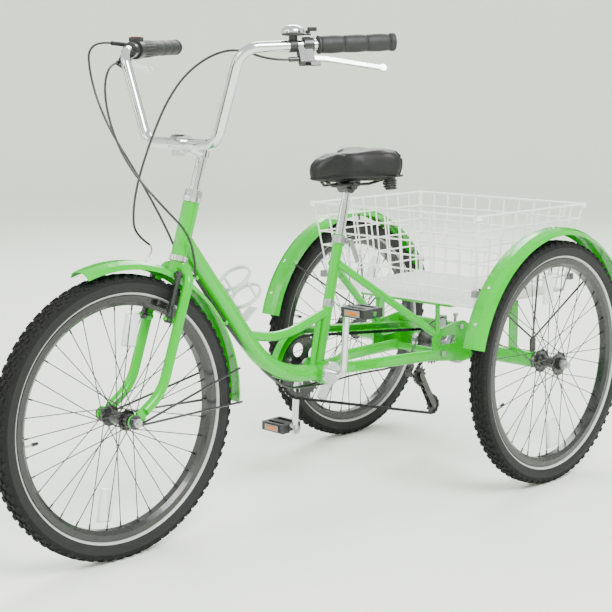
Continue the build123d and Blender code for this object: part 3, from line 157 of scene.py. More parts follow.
# ---- finishes ----
def finish(
    name,
    colour,
    variation=0.12,
    metallic=0.0,
    roughness=(0.3, 0.4),
    grain=60.0,
    relief=0.1,
    relief_scale=400.0,
    coat=0.0,
    stretch=(1.0, 1.0, 1.0),
    cells=False,
    bare_above=None,
    gleam=0.5,
):
    """A procedural finish: mottled colour, uneven gloss and fine relief.

    Above bare_above, if it is given, the finish is bare metal.
    """
    material = bpy.data.materials.new(name)
    material.use_nodes = True
    nodes, links = material.node_tree.nodes, material.node_tree.links
    shader = nodes["Principled BSDF"]
    place = nodes.new("ShaderNodeTexCoord")
    mapping = nodes.new("ShaderNodeMapping")
    mapping.inputs["Scale"].default_value = stretch
    links.new(place.outputs["Object"], mapping.inputs["Vector"])
    broad = nodes.new("ShaderNodeTexNoise")
    broad.inputs["Scale"].default_value = grain
    broad.inputs["Detail"].default_value = 6.0
    links.new(mapping.outputs["Vector"], broad.inputs["Vector"])
    blend = nodes.new("ShaderNodeMix")
    blend.data_type = "RGBA"
    blend.inputs[6].default_value = (*[c * (1 - variation) for c in colour], 1)
    blend.inputs[7].default_value = (*[min(1, c * (1 + variation) + variation * 0.01) for c in colour], 1)
    links.new(broad.outputs["Fac"], blend.inputs["Factor"])
    colour_out = blend.outputs[2]
    if bare_above is not None:
        split = nodes.new("ShaderNodeSeparateXYZ")
        links.new(place.outputs["Object"], split.inputs["Vector"])
        edge = nodes.new("ShaderNodeMapRange")
        edge.inputs["From Min"].default_value = bare_above - 0.0005
        edge.inputs["From Max"].default_value = bare_above + 0.0005
        links.new(split.outputs["Z"], edge.inputs["Value"])
        metal = nodes.new("ShaderNodeMix")
        metal.data_type = "RGBA"
        metal.inputs[7].default_value = (0.66, 0.67, 0.68, 1)
        links.new(edge.outputs["Result"], metal.inputs["Factor"])
        links.new(colour_out, metal.inputs[6])
        links.new(edge.outputs["Result"], shader.inputs["Metallic"])
        colour_out = metal.outputs[2]
    links.new(colour_out, shader.inputs["Base Color"])
    gloss = nodes.new("ShaderNodeMapRange")
    gloss.inputs["From Min"].default_value, gloss.inputs["From Max"].default_value = 0.3, 0.7
    gloss.inputs["To Min"].default_value, gloss.inputs["To Max"].default_value = roughness
    links.new(broad.outputs["Fac"], gloss.inputs["Value"])
    links.new(gloss.outputs["Result"], shader.inputs["Roughness"])
    if cells:
        fine = nodes.new("ShaderNodeTexVoronoi")
        fine.feature = "DISTANCE_TO_EDGE"
        height = fine.outputs["Distance"]
    else:
        fine = nodes.new("ShaderNodeTexNoise")
        fine.inputs["Detail"].default_value = 3.0
        height = fine.outputs["Fac"]
    fine.inputs["Scale"].default_value = relief_scale
    links.new(mapping.outputs["Vector"], fine.inputs["Vector"])
    bump = nodes.new("ShaderNodeBump")
    bump.inputs["Strength"].default_value = relief
    bump.inputs["Distance"].default_value = 0.0006
    links.new(height, bump.inputs["Height"])
    links.new(bump.outputs["Normal"], shader.inputs["Normal"])
    shader.inputs["Metallic"].default_value = metallic
    shader.inputs["Specular IOR Level"].default_value = gleam
    shader.inputs["Coat Weight"].default_value = coat
    shader.inputs["Coat Roughness"].default_value = 0.05
    return material


FINISHES = {}


def make_finishes(colours):
    """Every finish, by name."""
    paint = tuple(colours.paint)
    fork_bare = (frame["nodes"]["fork"].matrix_world.inverted() @ Vector((0, 0, 0.70))).z
    FINISHES.update(
        {
            "gloss_green": finish(
                "gloss_green", paint, 0.10, roughness=(0.20, 0.30), grain=26, relief=0.05,
                relief_scale=260, coat=0.4,
            ),
            "fork_green": finish(
                "fork_green", paint, 0.10, roughness=(0.18, 0.28), grain=26, relief=0.05,
                relief_scale=260, coat=0.0, bare_above=fork_bare,
            ),
            "chain_steel": finish(
                "chain_steel", (0.030, 0.030, 0.032), 0.3, metallic=1.0, roughness=(0.28, 0.42), grain=90,
                relief=0.15,
            ),
            "flag_black": finish("flag_black", (0.01, 0.01, 0.01), 0.2, roughness=(0.8, 0.9), grain=2),
            "chrome": finish(
                "chrome", (0.66, 0.67, 0.69), 0.05, metallic=1.0, roughness=(0.05, 0.13), grain=40,
                relief=0.03,
            ),
            "white_coating": finish(
                "white_coating", tuple(colours.wire), 0.05, roughness=(0.28, 0.42), grain=50,
                relief=0.12, coat=0.3,
            ),
            "black_enamel": finish(
                "black_enamel", (0.009, 0.009, 0.010), 0.3, roughness=(0.22, 0.38), grain=50,
                relief=0.12, coat=0.3,
            ),
            "brushed_steel": finish(
                "brushed_steel", (0.42, 0.43, 0.44), 0.18, metallic=1.0, roughness=(0.25, 0.45), grain=90,
                relief=0.2, stretch=(1, 14, 1),
            ),
            "pale_alloy": finish(
                "pale_alloy", (0.66, 0.67, 0.68), 0.08, metallic=1.0, roughness=(0.2, 0.34), grain=90,
                relief=0.1,
            ),
            "tread_rubber": finish(
                "tread_rubber", tuple(colours.rubber), 0.35, roughness=(0.72, 0.9), grain=70, relief=0.35,
                relief_scale=700, gleam=0.25,
            ),
            "sidewall_rubber": finish(
                "sidewall_rubber", (0.011, 0.011, 0.0115), 0.25, roughness=(0.6, 0.75), grain=120, relief=0.3,
                relief_scale=900, gleam=0.3,
            ),
            "sidewall_ring": finish(
                "sidewall_ring", (0.42, 0.43, 0.43), 0.1, roughness=(0.3, 0.45), grain=90, relief=0.1
            ),
            "grip_rubber": finish(
                "grip_rubber", (0.009, 0.009, 0.010), 0.3, roughness=(0.5, 0.68), grain=120, relief=0.35,
                relief_scale=900,
            ),
            "moulded_plastic": finish(
                "moulded_plastic", (0.013, 0.013, 0.014), 0.25, roughness=(0.34, 0.5), grain=100, relief=0.3,
                relief_scale=1200,
            ),
            "grey_plastic": finish(
                "grey_plastic", (0.20, 0.20, 0.21), 0.15, roughness=(0.35, 0.5), grain=100, relief=0.25,
                relief_scale=1200,
            ),
            "pale_plastic": finish(
                "pale_plastic", (0.55, 0.60, 0.56), 0.08, roughness=(0.3, 0.42), grain=80, relief=0.15
            ),
            "saddle_vinyl": finish(
                "saddle_vinyl", tuple(colours.vinyl), 0.25, roughness=(0.42, 0.56), grain=30, relief=0.3,
                gleam=0.35,
                relief_scale=520, cells=True,
            ),
            "amber_lens": finish(
                "amber_lens", tuple(colours.amber), 0.15, roughness=(0.12, 0.2), grain=90, relief=0.6,
                relief_scale=700, cells=True, coat=0.6,
            ),
            "clear_lens": finish(
                "clear_lens", (0.75, 0.77, 0.78), 0.08, roughness=(0.1, 0.2), grain=90, relief=0.6,
                relief_scale=700, cells=True, coat=0.6,
            ),
            "gear_window": finish(
                "gear_window", tuple(colours.red), 0.2, roughness=(0.12, 0.2), grain=90, relief=0.05, coat=0.8
            ),
            "black_housing": finish(
                "black_housing", (0.007, 0.007, 0.0075), 0.25, roughness=(0.25, 0.36), grain=150,
                relief=0.1, coat=0.2,
            ),
            "floor_paper": finish(
                "floor_paper", tuple(colours.floor), 0.015, roughness=(0.8, 0.9), grain=2, relief=0.02,
                relief_scale=60,
            ),
        }
    )


NODE_FINISH = {
    "gloss_green": (
        "front_frame", "rear_frame", "front_fender", "rear_fenders", "chain_guard",
    ),
    "fork_green": ("fork",),
    "chrome": ("handlebar", "stem", "seat_post", "crank"),
    "white_coating": ("basket_sides", "basket_caps", "basket_bottom"),
    "black_enamel": (
        "front_rim", "rear_left_rim", "rear_right_rim", "front_spokes", "rear_left_spokes",
        "rear_right_spokes", "freewheel", "chainring", "front_fender_stays", "rear_fender_stays", "saddle_frame",
        "derailleur_mount", "derailleur_link", "derailleur_cage", "lever_mounts", "brake_arm_left",
        "brake_arm_right", "bell_lever",
    ),
    "brushed_steel": (
        "brake_drum", "brake_band", "brake_arm_rear", "frame_fasteners", "steering_fasteners", "rear_axle",
        "seat_lever",
    ),
    "pale_alloy": ("bearing_cups", "brake_lever_left", "brake_lever_right"),
    "moulded_plastic": ("shifter_body", "pulley_guide", "pulley_tension", "pedal_left", "pedal_right"),
    "grip_rubber": ("twist_grip",),
    "pale_plastic": ("bottle_cage",),
}


# ---- mesh helpers ----
def piece(name, mesh, finishes, body, replaced=()):
    """Turn a bmesh into a piece of the tricycle that rides on a body."""
    data = bpy.data.meshes.new(name)
    mesh.to_mesh(data)
    mesh.free()
    return piece_from(name, data, finishes, body, replaced)


def piece_from(name, data, finishes, body, replaced=()):
    """Turn mesh data into a piece of the tricycle that rides on a body."""
    for key in finishes:
        data.materials.append(FINISHES[key])
    for face in data.polygons:
        face.use_smooth = True
    item = bpy.data.objects.new(name, data)
    bpy.context.scene.collection.objects.link(item)
    crease = item.modifiers.new("soft edges", "EDGE_SPLIT")
    crease.split_angle = math.radians(38)
    if body:
        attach(item, body)
    if replaced:
        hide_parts(*replaced)
    return item


def across(axis):
    """A direction square to an axis."""
    return axis.cross(UP).normalized() if abs(axis.z) < 0.9 else axis.cross(Vector((1, 0, 0))).normalized()


def lathe(mesh, origin, axis, profile, steps=48, index=0):
    """Spin a profile of (along the axis, radius) about a line; a closed shape if it ends at radius 0."""
    out = across(axis)
    points = [mesh.verts.new(origin + axis * along + out * max(radius, 1e-6)) for along, radius in profile]
    edges = [mesh.edges.new(pair) for pair in zip(points, points[1:])]
    before = set(mesh.faces)
    bmesh.ops.spin(
        mesh, geom=points + edges, cent=origin, axis=axis, dvec=(0, 0, 0), angle=2 * math.pi, steps=steps,
        use_merge=True, use_duplicate=False,
    )
    bmesh.ops.remove_doubles(mesh, verts=[v for v in mesh.verts], dist=2e-6)
    made = [f for f in mesh.faces if f not in before]
    for face in made:
        face.material_index = index
    bmesh.ops.recalc_face_normals(mesh, faces=mesh.faces)
    return made


def brick(mesh, centre, x_dir, z_dir, size, taper=1.0, index=0, bevel=0.0):
    """A block along two directions, narrower at its outer end where tapered."""
    z_dir = z_dir.normalized()
    y_dir = z_dir.cross(x_dir).normalized()
    x_dir = y_dir.cross(z_dir)
    turn = Matrix((x_dir, y_dir, z_dir)).transposed().to_4x4()
    made = bmesh.ops.create_cube(
        mesh, size=1.0, matrix=Matrix.Translation(centre) @ turn @ Matrix.Diagonal((*size, 1))
    )["verts"]
    if taper != 1.0:
        tops = [v for v in made if (v.co - centre).dot(z_dir) > 0]
        middle = centre + z_dir * (size[2] / 2)
        for v in tops:
            v.co = middle + (v.co - middle) * taper
    faces = {f for v in made for f in v.link_faces}
    for face in faces:
        face.material_index = index
    if bevel:
        edges = {e for v in made for e in v.link_edges}
        bmesh.ops.bevel(
            mesh, geom=list(edges), offset=bevel, affect="EDGES", segments=2, profile=0.5, material=-1
        )


def tube(name, points, radius, finishes, body, cyclic=False):
    """A round tube along a smooth curve through guide points, as a mesh piece."""
    curve = bpy.data.curves.new(name + "_line", "CURVE")
    curve.dimensions = "3D"
    spline = curve.splines.new("NURBS")
    spline.points.add(len(points) - 1)
    for slot_point, place in zip(spline.points, points):
        slot_point.co = (*place, 1)
    spline.order_u = 3
    spline.use_endpoint_u = not cyclic
    spline.use_cyclic_u = cyclic
    curve.resolution_u = 10
    curve.bevel_depth = radius
    curve.bevel_resolution = 4
    curve.use_fill_caps = True
    holder = bpy.data.objects.new(name + "_line", curve)
    bpy.context.scene.collection.objects.link(holder)
    bpy.context.view_layer.update()
    data = bpy.data.meshes.new_from_object(holder.evaluated_get(bpy.context.evaluated_depsgraph_get()))
    bpy.data.objects.remove(holder)
    data.materials.clear()
    return piece_from(name, data, finishes, body)


# ---- operators ----
class OBJECT_OT_tricycle_finishes(bpy.types.Operator):
    """Give every frame part its finish"""

    bl_idname = "object.tricycle_finishes"
    bl_label = "Finishes"

    def execute(self, context):
        make_finishes(context.scene.tricycle_colours)
        for key, names in NODE_FINISH.items():
            for name in names:
                item = frame["nodes"][name]
                for slot in item.material_slots:
                    slot.material = FINISHES[key]
        return {"FINISHED"}


class OBJECT_OT_tricycle_tyres(bpy.types.Operator):
    """Build the three knobbly tyres with their valves and spoke reflectors"""

    bl_idname = "object.tricycle_tyres"
    bl_label = "Tyres"

    def execute(self, context):
        sizes = context.scene.tricycle_sizes
        crown = TYRE_RADIUS - sizes.knob_height
        for name, body, centre, turn in WHEELS:
            mesh = bmesh.new()
            outline = [
                (0.0126, RIM_RADIUS - 0.006), (0.0128, RIM_RADIUS + 0.0008), (0.0150, RIM_RADIUS + 0.0016),
                (0.0172, RIM_RADIUS + 0.0034), (0.0190, RIM_RADIUS + 0.0064), (0.0222, RIM_RADIUS + 0.0120),
                (0.0238, RIM_RADIUS + 0.0195), (0.0236, RIM_RADIUS + 0.0270), (0.0216, crown - 0.0060),
                (0.0186, crown - 0.0026), (0.0120, crown - 0.0006), (0.0, crown),
            ]
            flank = outline[:-1]
            full = [(-y, r) for y, r in flank] + [outline[-1]] + [(y, r) for y, r in reversed(flank)]
            made = lathe(mesh, centre, ACROSS, full, steps=112)
            for face in made:
                middle = face.calc_center_median() - centre
                reach = math.hypot(middle.x, middle.z)
                if RIM_RADIUS + 0.0010 < reach < RIM_RADIUS + 0.0052:
                    face.material_index = 2
                elif reach < crown - 0.010:
                    face.material_index = 1
            self.add_tread(mesh, centre, crown, sizes)
            piece(
                name + "_knobbly_tyre", mesh,
                ("tread_rubber", "sidewall_rubber", "sidewall_ring"), body, (name + "_tyre",),
            )
            self.add_small_parts(name, body, centre, turn)
        return {"FINISHED"}

    def add_tread(self, mesh, centre, crown, sizes):
        """Rows of tapered tread blocks round the carcass."""
        step = 2 * math.pi / sizes.knobs_round
        rows = (
            (-0.0042, 0.0, 0.5, (0.0062, 0.0150)),
            (0.0042, 0.0, 0.0, (0.0062, 0.0150)),
            (-0.0128, 0.18, 0.25, (0.0064, 0.0120)),
            (0.0128, -0.18, 0.75, (0.0064, 0.0120)),
            (-0.0196, 0.62, 0.0, (0.0070, 0.0125)),
            (0.0196, -0.62, 0.5, (0.0070, 0.0125)),
        )
        for side, lean, phase, (width, length) in rows:
            sink = 0.0 if abs(side) < 0.01 else (0.0004 if abs(side) < 0.015 else 0.0040)
            for number in range(sizes.knobs_round):
                angle = (number + phase) * step
                outward = Vector((math.cos(angle), 0, math.sin(angle)))
                normal = (outward + ACROSS * -math.tan(lean)).normalized()
                along = Vector((-math.sin(angle), 0, math.cos(angle)))
                base = centre + ACROSS * side + outward * (crown - sink)
                height = sizes.knob_height * 2
                brick(
                    mesh, base + normal * (sizes.knob_height - height / 2 - 0.0002), along, normal,
                    (length, width, height), taper=0.82,
                )

    def add_small_parts(self, name, body, centre, rest):
        """A valve with a cap, and two clear reflectors between the spokes."""
        mesh = bmesh.new()
        inner = RIM_RADIUS - 0.0216
        place = math.radians(rest + VALVE_TURN)
        outward = Vector((math.cos(place), 0, math.sin(place)))
        stem = [(-0.002, 0), (-0.002, 0.004), (0.002, 0.004), (0.003, 0.0027), (0.022, 0.0027), (0.022, 0)]
        cap = [(0.0215, 0), (0.0215, 0.0039), (0.034, 0.0036), (0.0365, 0.0022), (0.0365, 0)]
        lathe(mesh, centre + outward * inner, -outward, stem, 20, 0)
        lathe(mesh, centre + outward * inner, -outward, cap, 20, 1)
        piece(name + "_valve", mesh, ("pale_alloy", "moulded_plastic"), body)
        mesh = bmesh.new()
        for turn in (rest, rest + 180):
            angle = math.radians(turn)
            outward = Vector((math.cos(angle), 0, math.sin(angle)))
            middle, along = centre + outward * REFLECTOR_REACH, outward.cross(ACROSS)
            brick(mesh, middle, along, ACROSS, (0.036, 0.074, 0.010), 0.9, 0, 0.0022)
            brick(mesh, middle, along, ACROSS, (0.028, 0.066, 0.0122), 0.95, 1, 0.001)
        piece(name + "_spoke_reflectors", mesh, ("clear_lens", "clear_lens"), body)


class OBJECT_OT_tricycle_saddle(bpy.types.Operator):
    """Build the padded saddle and its springs"""

    bl_idname = "object.tricycle_saddle"
    bl_label = "Saddle"

    def execute(self, context):
        scene = context.scene
        low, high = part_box("saddle_pad")
        mesh = bmesh.new()
        mesh.from_mesh(frame["nodes"]["saddle_pad"].data)
        bmesh.ops.remove_doubles(mesh, verts=mesh.verts, dist=1e-5)
        bmesh.ops.recalc_face_normals(mesh, faces=mesh.faces)
        middle = (low + high) / 2
        for vert in mesh.verts:
            vert.co = middle + (vert.co - middle) * 0.965
        data = bpy.data.meshes.new("saddle_cover")
        mesh.to_mesh(data)
        mesh.free()
        item = bpy.data.objects.new("saddle_cover", data)
        scene.collection.objects.link(item)
        remesh = item.modifiers.new("even cloth", "REMESH")
        remesh.mode, remesh.voxel_size = "VOXEL", 0.005
        self.bake(item)
        self.dish(item, low, high)
        self.puff(item, scene)
        data = item.data
        for face in data.polygons:
            face.use_smooth = True
        data.materials.clear()
        data.materials.append(FINISHES["saddle_vinyl"])
        smooth = item.modifiers.new("smooth cover", "SUBSURF")
        smooth.levels = smooth.render_levels = 1
        self.bake(item)
        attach(item, "seat")
        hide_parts("saddle_pad")
        self.piping(low, high)
        self.springs()
        return {"FINISHED"}

    def bake(self, item):
        """Apply an item's modifiers to its mesh."""
        bpy.context.view_layer.update()
        data = bpy.data.meshes.new_from_object(item.evaluated_get(bpy.context.evaluated_depsgraph_get()))
        item.modifiers.clear()
        item.data = data

    def dish(self, item, low, high):
        """Lower the middle of the seat, raise its tail and round its upper edge."""
        length, height = high.x - low.x, high.z - low.z
        for vert in item.data.vertices:
            ahead = (vert.co.x - low.x) / length
            rise = (vert.co.z - low.z) / height
            sag = math.exp(-(((ahead - 0.52) / 0.22) ** 2)) * 0.010
            nose = max(0.0, ahead - 0.72) * 0.085
            groove = math.exp(-((vert.co.y / 0.012) ** 2)) * 0.004 * (1 if ahead < 0.86 else 0)
            vert.co.z -= (sag + nose + groove) * max(0.0, rise) ** 1.5
            tuck = 0.90 + 0.10 * min(1.0, rise / 0.35)
            vert.co.y *= tuck

    def puff(self, item, scene):
        """Swell the cover by cloth pressure, with a cap on how far a point may move."""
        rest = [v.co.copy() for v in item.data.vertices]
        cloth = item.modifiers.new("cover", "CLOTH")
        cloth.settings.quality = 6
        cloth.settings.use_pressure = True
        cloth.settings.uniform_pressure_force = 4.0
        cloth.settings.tension_stiffness = cloth.settings.compression_stiffness = 20
        cloth.settings.effector_weights.gravity = 0.0
        for number in range(1, 21):
            scene.frame_set(number)
        self.bake(item)
        cap = scene.tricycle_sizes.saddle_puff
        for vert, start in zip(item.data.vertices, rest):
            move = vert.co - start
            if move.length > cap:
                vert.co = start + move.normalized() * cap
        scene.frame_set(1)

    def piping(self, low, high):
        """A seam cord round the bottom edge of the cover."""
        outline = (
            (0.975, 0.0), (0.95, 0.06), (0.89, 0.105), (0.75, 0.125), (0.59, 0.165), (0.42, 0.33), (0.27, 0.44),
            (0.15, 0.468), (0.06, 0.42), (0.025, 0.30), (0.045, 0.16), (0.055, 0.0),
        )
        ring = [*outline, *[(x, -y) for x, y in reversed(outline[1:-1])]]
        length, width = high.x - low.x, high.y - low.y
        points = [(low.x + x * length, y * width * 0.96, low.z + 0.005) for x, y in ring]
        tube("saddle_seam", points, 0.0017, ("saddle_vinyl",), "seat", cyclic=True)

    def springs(self):
        """Coil springs round the two rear posts under the saddle."""
        low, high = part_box("saddle_frame")
        for hand in (1, -1):
            points = []
            turns, count = 4, 14
            for number in range(turns * count + 1):
                angle = 2 * math.pi * number / count
                rise = number / (turns * count)
                points.append(
                    (
                        -0.240 + 0.0158 * math.cos(angle),
                        hand * 0.060 + 0.0158 * math.sin(angle),
                        high.z - 0.027 + 0.024 * rise,
                    )
                )
            name = "saddle_spring_" + ("left" if hand > 0 else "right")
            tube(name, points, 0.0019, ("black_enamel",), "seat")


# the chain's way: centre ahead and up, radius, with the sign of its sense
COG = (REAR_AXLE.x, REAR_AXLE.z, 0.0325)
RING = (joint_place("crank_spin").x, joint_place("crank_spin").z, 0.0769)
LOWER = (joint_place("lower_pulley_spin").x, joint_place("lower_pulley_spin").z, 0.02254)
UPPER = (joint_place("upper_pulley_spin").x, joint_place("upper_pulley_spin").z, -0.02254)
CHAIN_SIDE = joint_place("freewheel_spin").y


def tangent(first, second):
    """Where a straight run leaves one signed circle and meets the next."""
    (x1, z1, r1), (x2, z2, r2) = first, second
    gap = math.hypot(x2 - x1, z2 - z1)
    along_x, along_z = (x2 - x1) / gap, (z2 - z1) / gap
    lean = (r1 - r2) / gap
    rise = math.sqrt(1 - lean * lean)
    nx, nz = along_x * lean - along_z * rise, along_z * lean + along_x * rise
    return (x1 + r1 * nx, z1 + r1 * nz), (x2 + r2 * nx, z2 + r2 * nz)


def chain_way(pitch):
    """Pin places one pitch apart round the sprockets, each with a flag for the upper part."""
    circles = (COG, RING, LOWER, UPPER)
    runs = [tangent(circles[i], circles[(i + 1) % 4]) for i in range(4)]
    stretches = []
    for i, circle in enumerate(circles):
        entry, leave = runs[i - 1][1], runs[i][0]
        x, z, reach = circle
        sense = 1 if reach > 0 else -1
        start = math.atan2(entry[1] - z, entry[0] - x)
        turn = (start - math.atan2(leave[1] - z, leave[0] - x)) * sense % (2 * math.pi)
        stretches.append(("wrap", circle, start, turn, abs(reach) * turn, i))
        (x1, z1), (x2, z2) = runs[i]
        stretches.append(("run", runs[i], 0, 0, math.hypot(x2 - x1, z2 - z1), i))
    total = sum(s[4] for s in stretches)
    count = round(total / pitch)
    pitch = total / count
    places = []
    for number in range(count):
        walk = number * pitch
        for kind, shape, start, turn, length, i in stretches:
            if walk <= length:
                break
            walk -= length
        if kind == "run":
            (x1, z1), (x2, z2) = shape
            share = walk / length
            spot = (x1 + (x2 - x1) * share, z1 + (z2 - z1) * share)
        else:
            x, z, reach = shape
            sense = 1 if reach > 0 else -1
            angle = start - sense * walk / abs(reach)
            spot = (x + abs(reach) * math.cos(angle), z + abs(reach) * math.sin(angle))
        upper = i == 0 or (i == 1 and kind == "wrap")
        places.append((Vector((spot[0], CHAIN_SIDE, spot[1])), upper))
    return places


class OBJECT_OT_tricycle_chain(bpy.types.Operator):
    """Build the roller chain link by link"""

    bl_idname = "object.tricycle_chain"
    bl_label = "Chain"

    def execute(self, context):
        places = chain_way(context.scene.tricycle_sizes.chain_pitch)
        meshes = {True: bmesh.new(), False: bmesh.new()}
        for number, (here, upper) in enumerate(places):
            there = places[(number + 1) % len(places)][0]
            mesh = meshes[upper]
            outer = number % 2 == 0
            gap = 0.0030 if outer else 0.0021
            way = (there - here).normalized()
            rise = ACROSS.cross(way)
            for hand in (1, -1):
                self.plate(mesh, here, there, way, rise, hand * gap)
            roller = [(0, 0), (0, 0.0036), (0.0032, 0.0036), (0.0032, 0)]
            lathe(mesh, here - ACROSS * 0.0016, ACROSS, roller, 10, 1)
        for upper, name, node in ((True, "chain_top", "chain_upper"), (False, "chain_foot", "chain_lower")):
            data = bpy.data.meshes.new(name)
            meshes[upper].to_mesh(data)
            meshes[upper].free()
            body = "frame" if upper else None
            item = piece_from(name, data, ("chain_steel", "brushed_steel"), body, (node,))
            if not upper:
                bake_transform(item)
        return {"FINISHED"}

    def plate(self, mesh, here, there, way, rise, shift):
        """One link plate: two round ends and a narrow waist."""
        middle = (here + there) / 2 + ACROSS * shift
        half = (there - here).length / 2
        outline = []
        for end in (1, -1):
            for step in (-75, -25, 25, 75):
                angle = math.radians(step)
                outline.append(
                    middle + way * (end * (half + 0.0038 * math.cos(angle)))
                    + rise * (end * 0.0040 * math.sin(angle))
                )
            outline.append(middle + rise * (end * 0.0031))
        verts = [mesh.verts.new(p - ACROSS * 0.0004) for p in outline]
        face = mesh.faces.new(verts)
        made = bmesh.ops.extrude_face_region(mesh, geom=[face])["geom"]
        moved = [v for v in made if isinstance(v, bmesh.types.BMVert)]
        bmesh.ops.translate(mesh, verts=moved, vec=ACROSS * 0.0008)
        flat = {f for v in verts + moved for f in v.link_faces}
        bmesh.ops.recalc_face_normals(mesh, faces=list(flat))


FRONT_BRAKE_ROUTE = (
    (0.2891, 0.2502, 1.0387), (0.324, 0.2307, 1.0372), (0.334, 0.150, 1.062), (0.370, 0.108, 1.050),
    (0.402, 0.064, 1.012), (0.422, 0.028, 0.958), (0.434, 0.0, 0.898), (0.442, -0.026, 0.838),
    (0.448, -0.048, 0.778), (0.446, -0.066, 0.718), (0.434, -0.076, 0.672), (0.3956, -0.076, 0.6473),
)
SHIFT_ROUTE = (
    (0.3561, -0.2405, 1.0789), (0.4176, -0.2459, 1.0843), (0.462, -0.180, 1.000), (0.460, -0.130, 0.905),
    (0.422, -0.078, 0.800), (0.380, -0.044, 0.696), (0.352, -0.025, 0.612), (0.3411, -0.0094, 0.5886),
    (0.3341, -0.0034, 0.5793),
)
REAR_BRAKE_ROUTE = (
    (0.3667, -0.2068, 1.0354), (0.4034, -0.1863, 1.0338), (0.450, -0.150, 0.985), (0.476, -0.098, 0.905),
    (0.478, -0.036, 0.820), (0.440, 0.022, 0.742), (0.382, 0.040, 0.680), (0.352, 0.025, 0.612),
    (0.3411, 0.0094, 0.5886), (0.3341, 0.0034, 0.5793),
)
LOWER_ROUTES = (
    (
        (0.3289, 0.0034, 0.5725), (0.122, 0.0034, 0.289), (-0.057, 0.0034, 0.2695), (-0.128, 0.038, 0.291),
        (-0.300, 0.072, 0.291), (-0.366, 0.060, 0.389), (-0.4487, 0.060, 0.392),
    ),
    (
        (0.3289, -0.0034, 0.5725), (0.122, -0.0034, 0.289), (-0.057, -0.0034, 0.2695), (-0.198, -0.040, 0.291),
        (-0.338, -0.058, 0.285), (-0.4105, -0.084, 0.269), (-0.4702, -0.084, 0.265),
    ),
)


class OBJECT_OT_tricycle_cables(bpy.types.Operator):
    """Build the brake and gear cables"""

    bl_idname = "object.tricycle_cables"
    bl_label = "Cables"

    def execute(self, context):
        radius = context.scene.tricycle_sizes.cable_radius
        item = tube("front_brake_housing", FRONT_BRAKE_ROUTE, radius, ("black_housing",), "steering")
        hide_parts("front_brake_cable")
        for name, route, node in (
            ("gear_housing", SHIFT_ROUTE, "shift_cable"),
            ("drum_brake_housing", REAR_BRAKE_ROUTE, "rear_brake_cable"),
        ):
            item = tube(name, route, radius, ("black_housing",), None)
            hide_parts(node)
            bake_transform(item)
        for hand, route in zip(("left", "right"), LOWER_ROUTES, strict=True):
            item = tube("frame_housing_" + hand, route, radius, ("black_housing",), "frame")
            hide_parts("frame_cables")
        return {"FINISHED"}


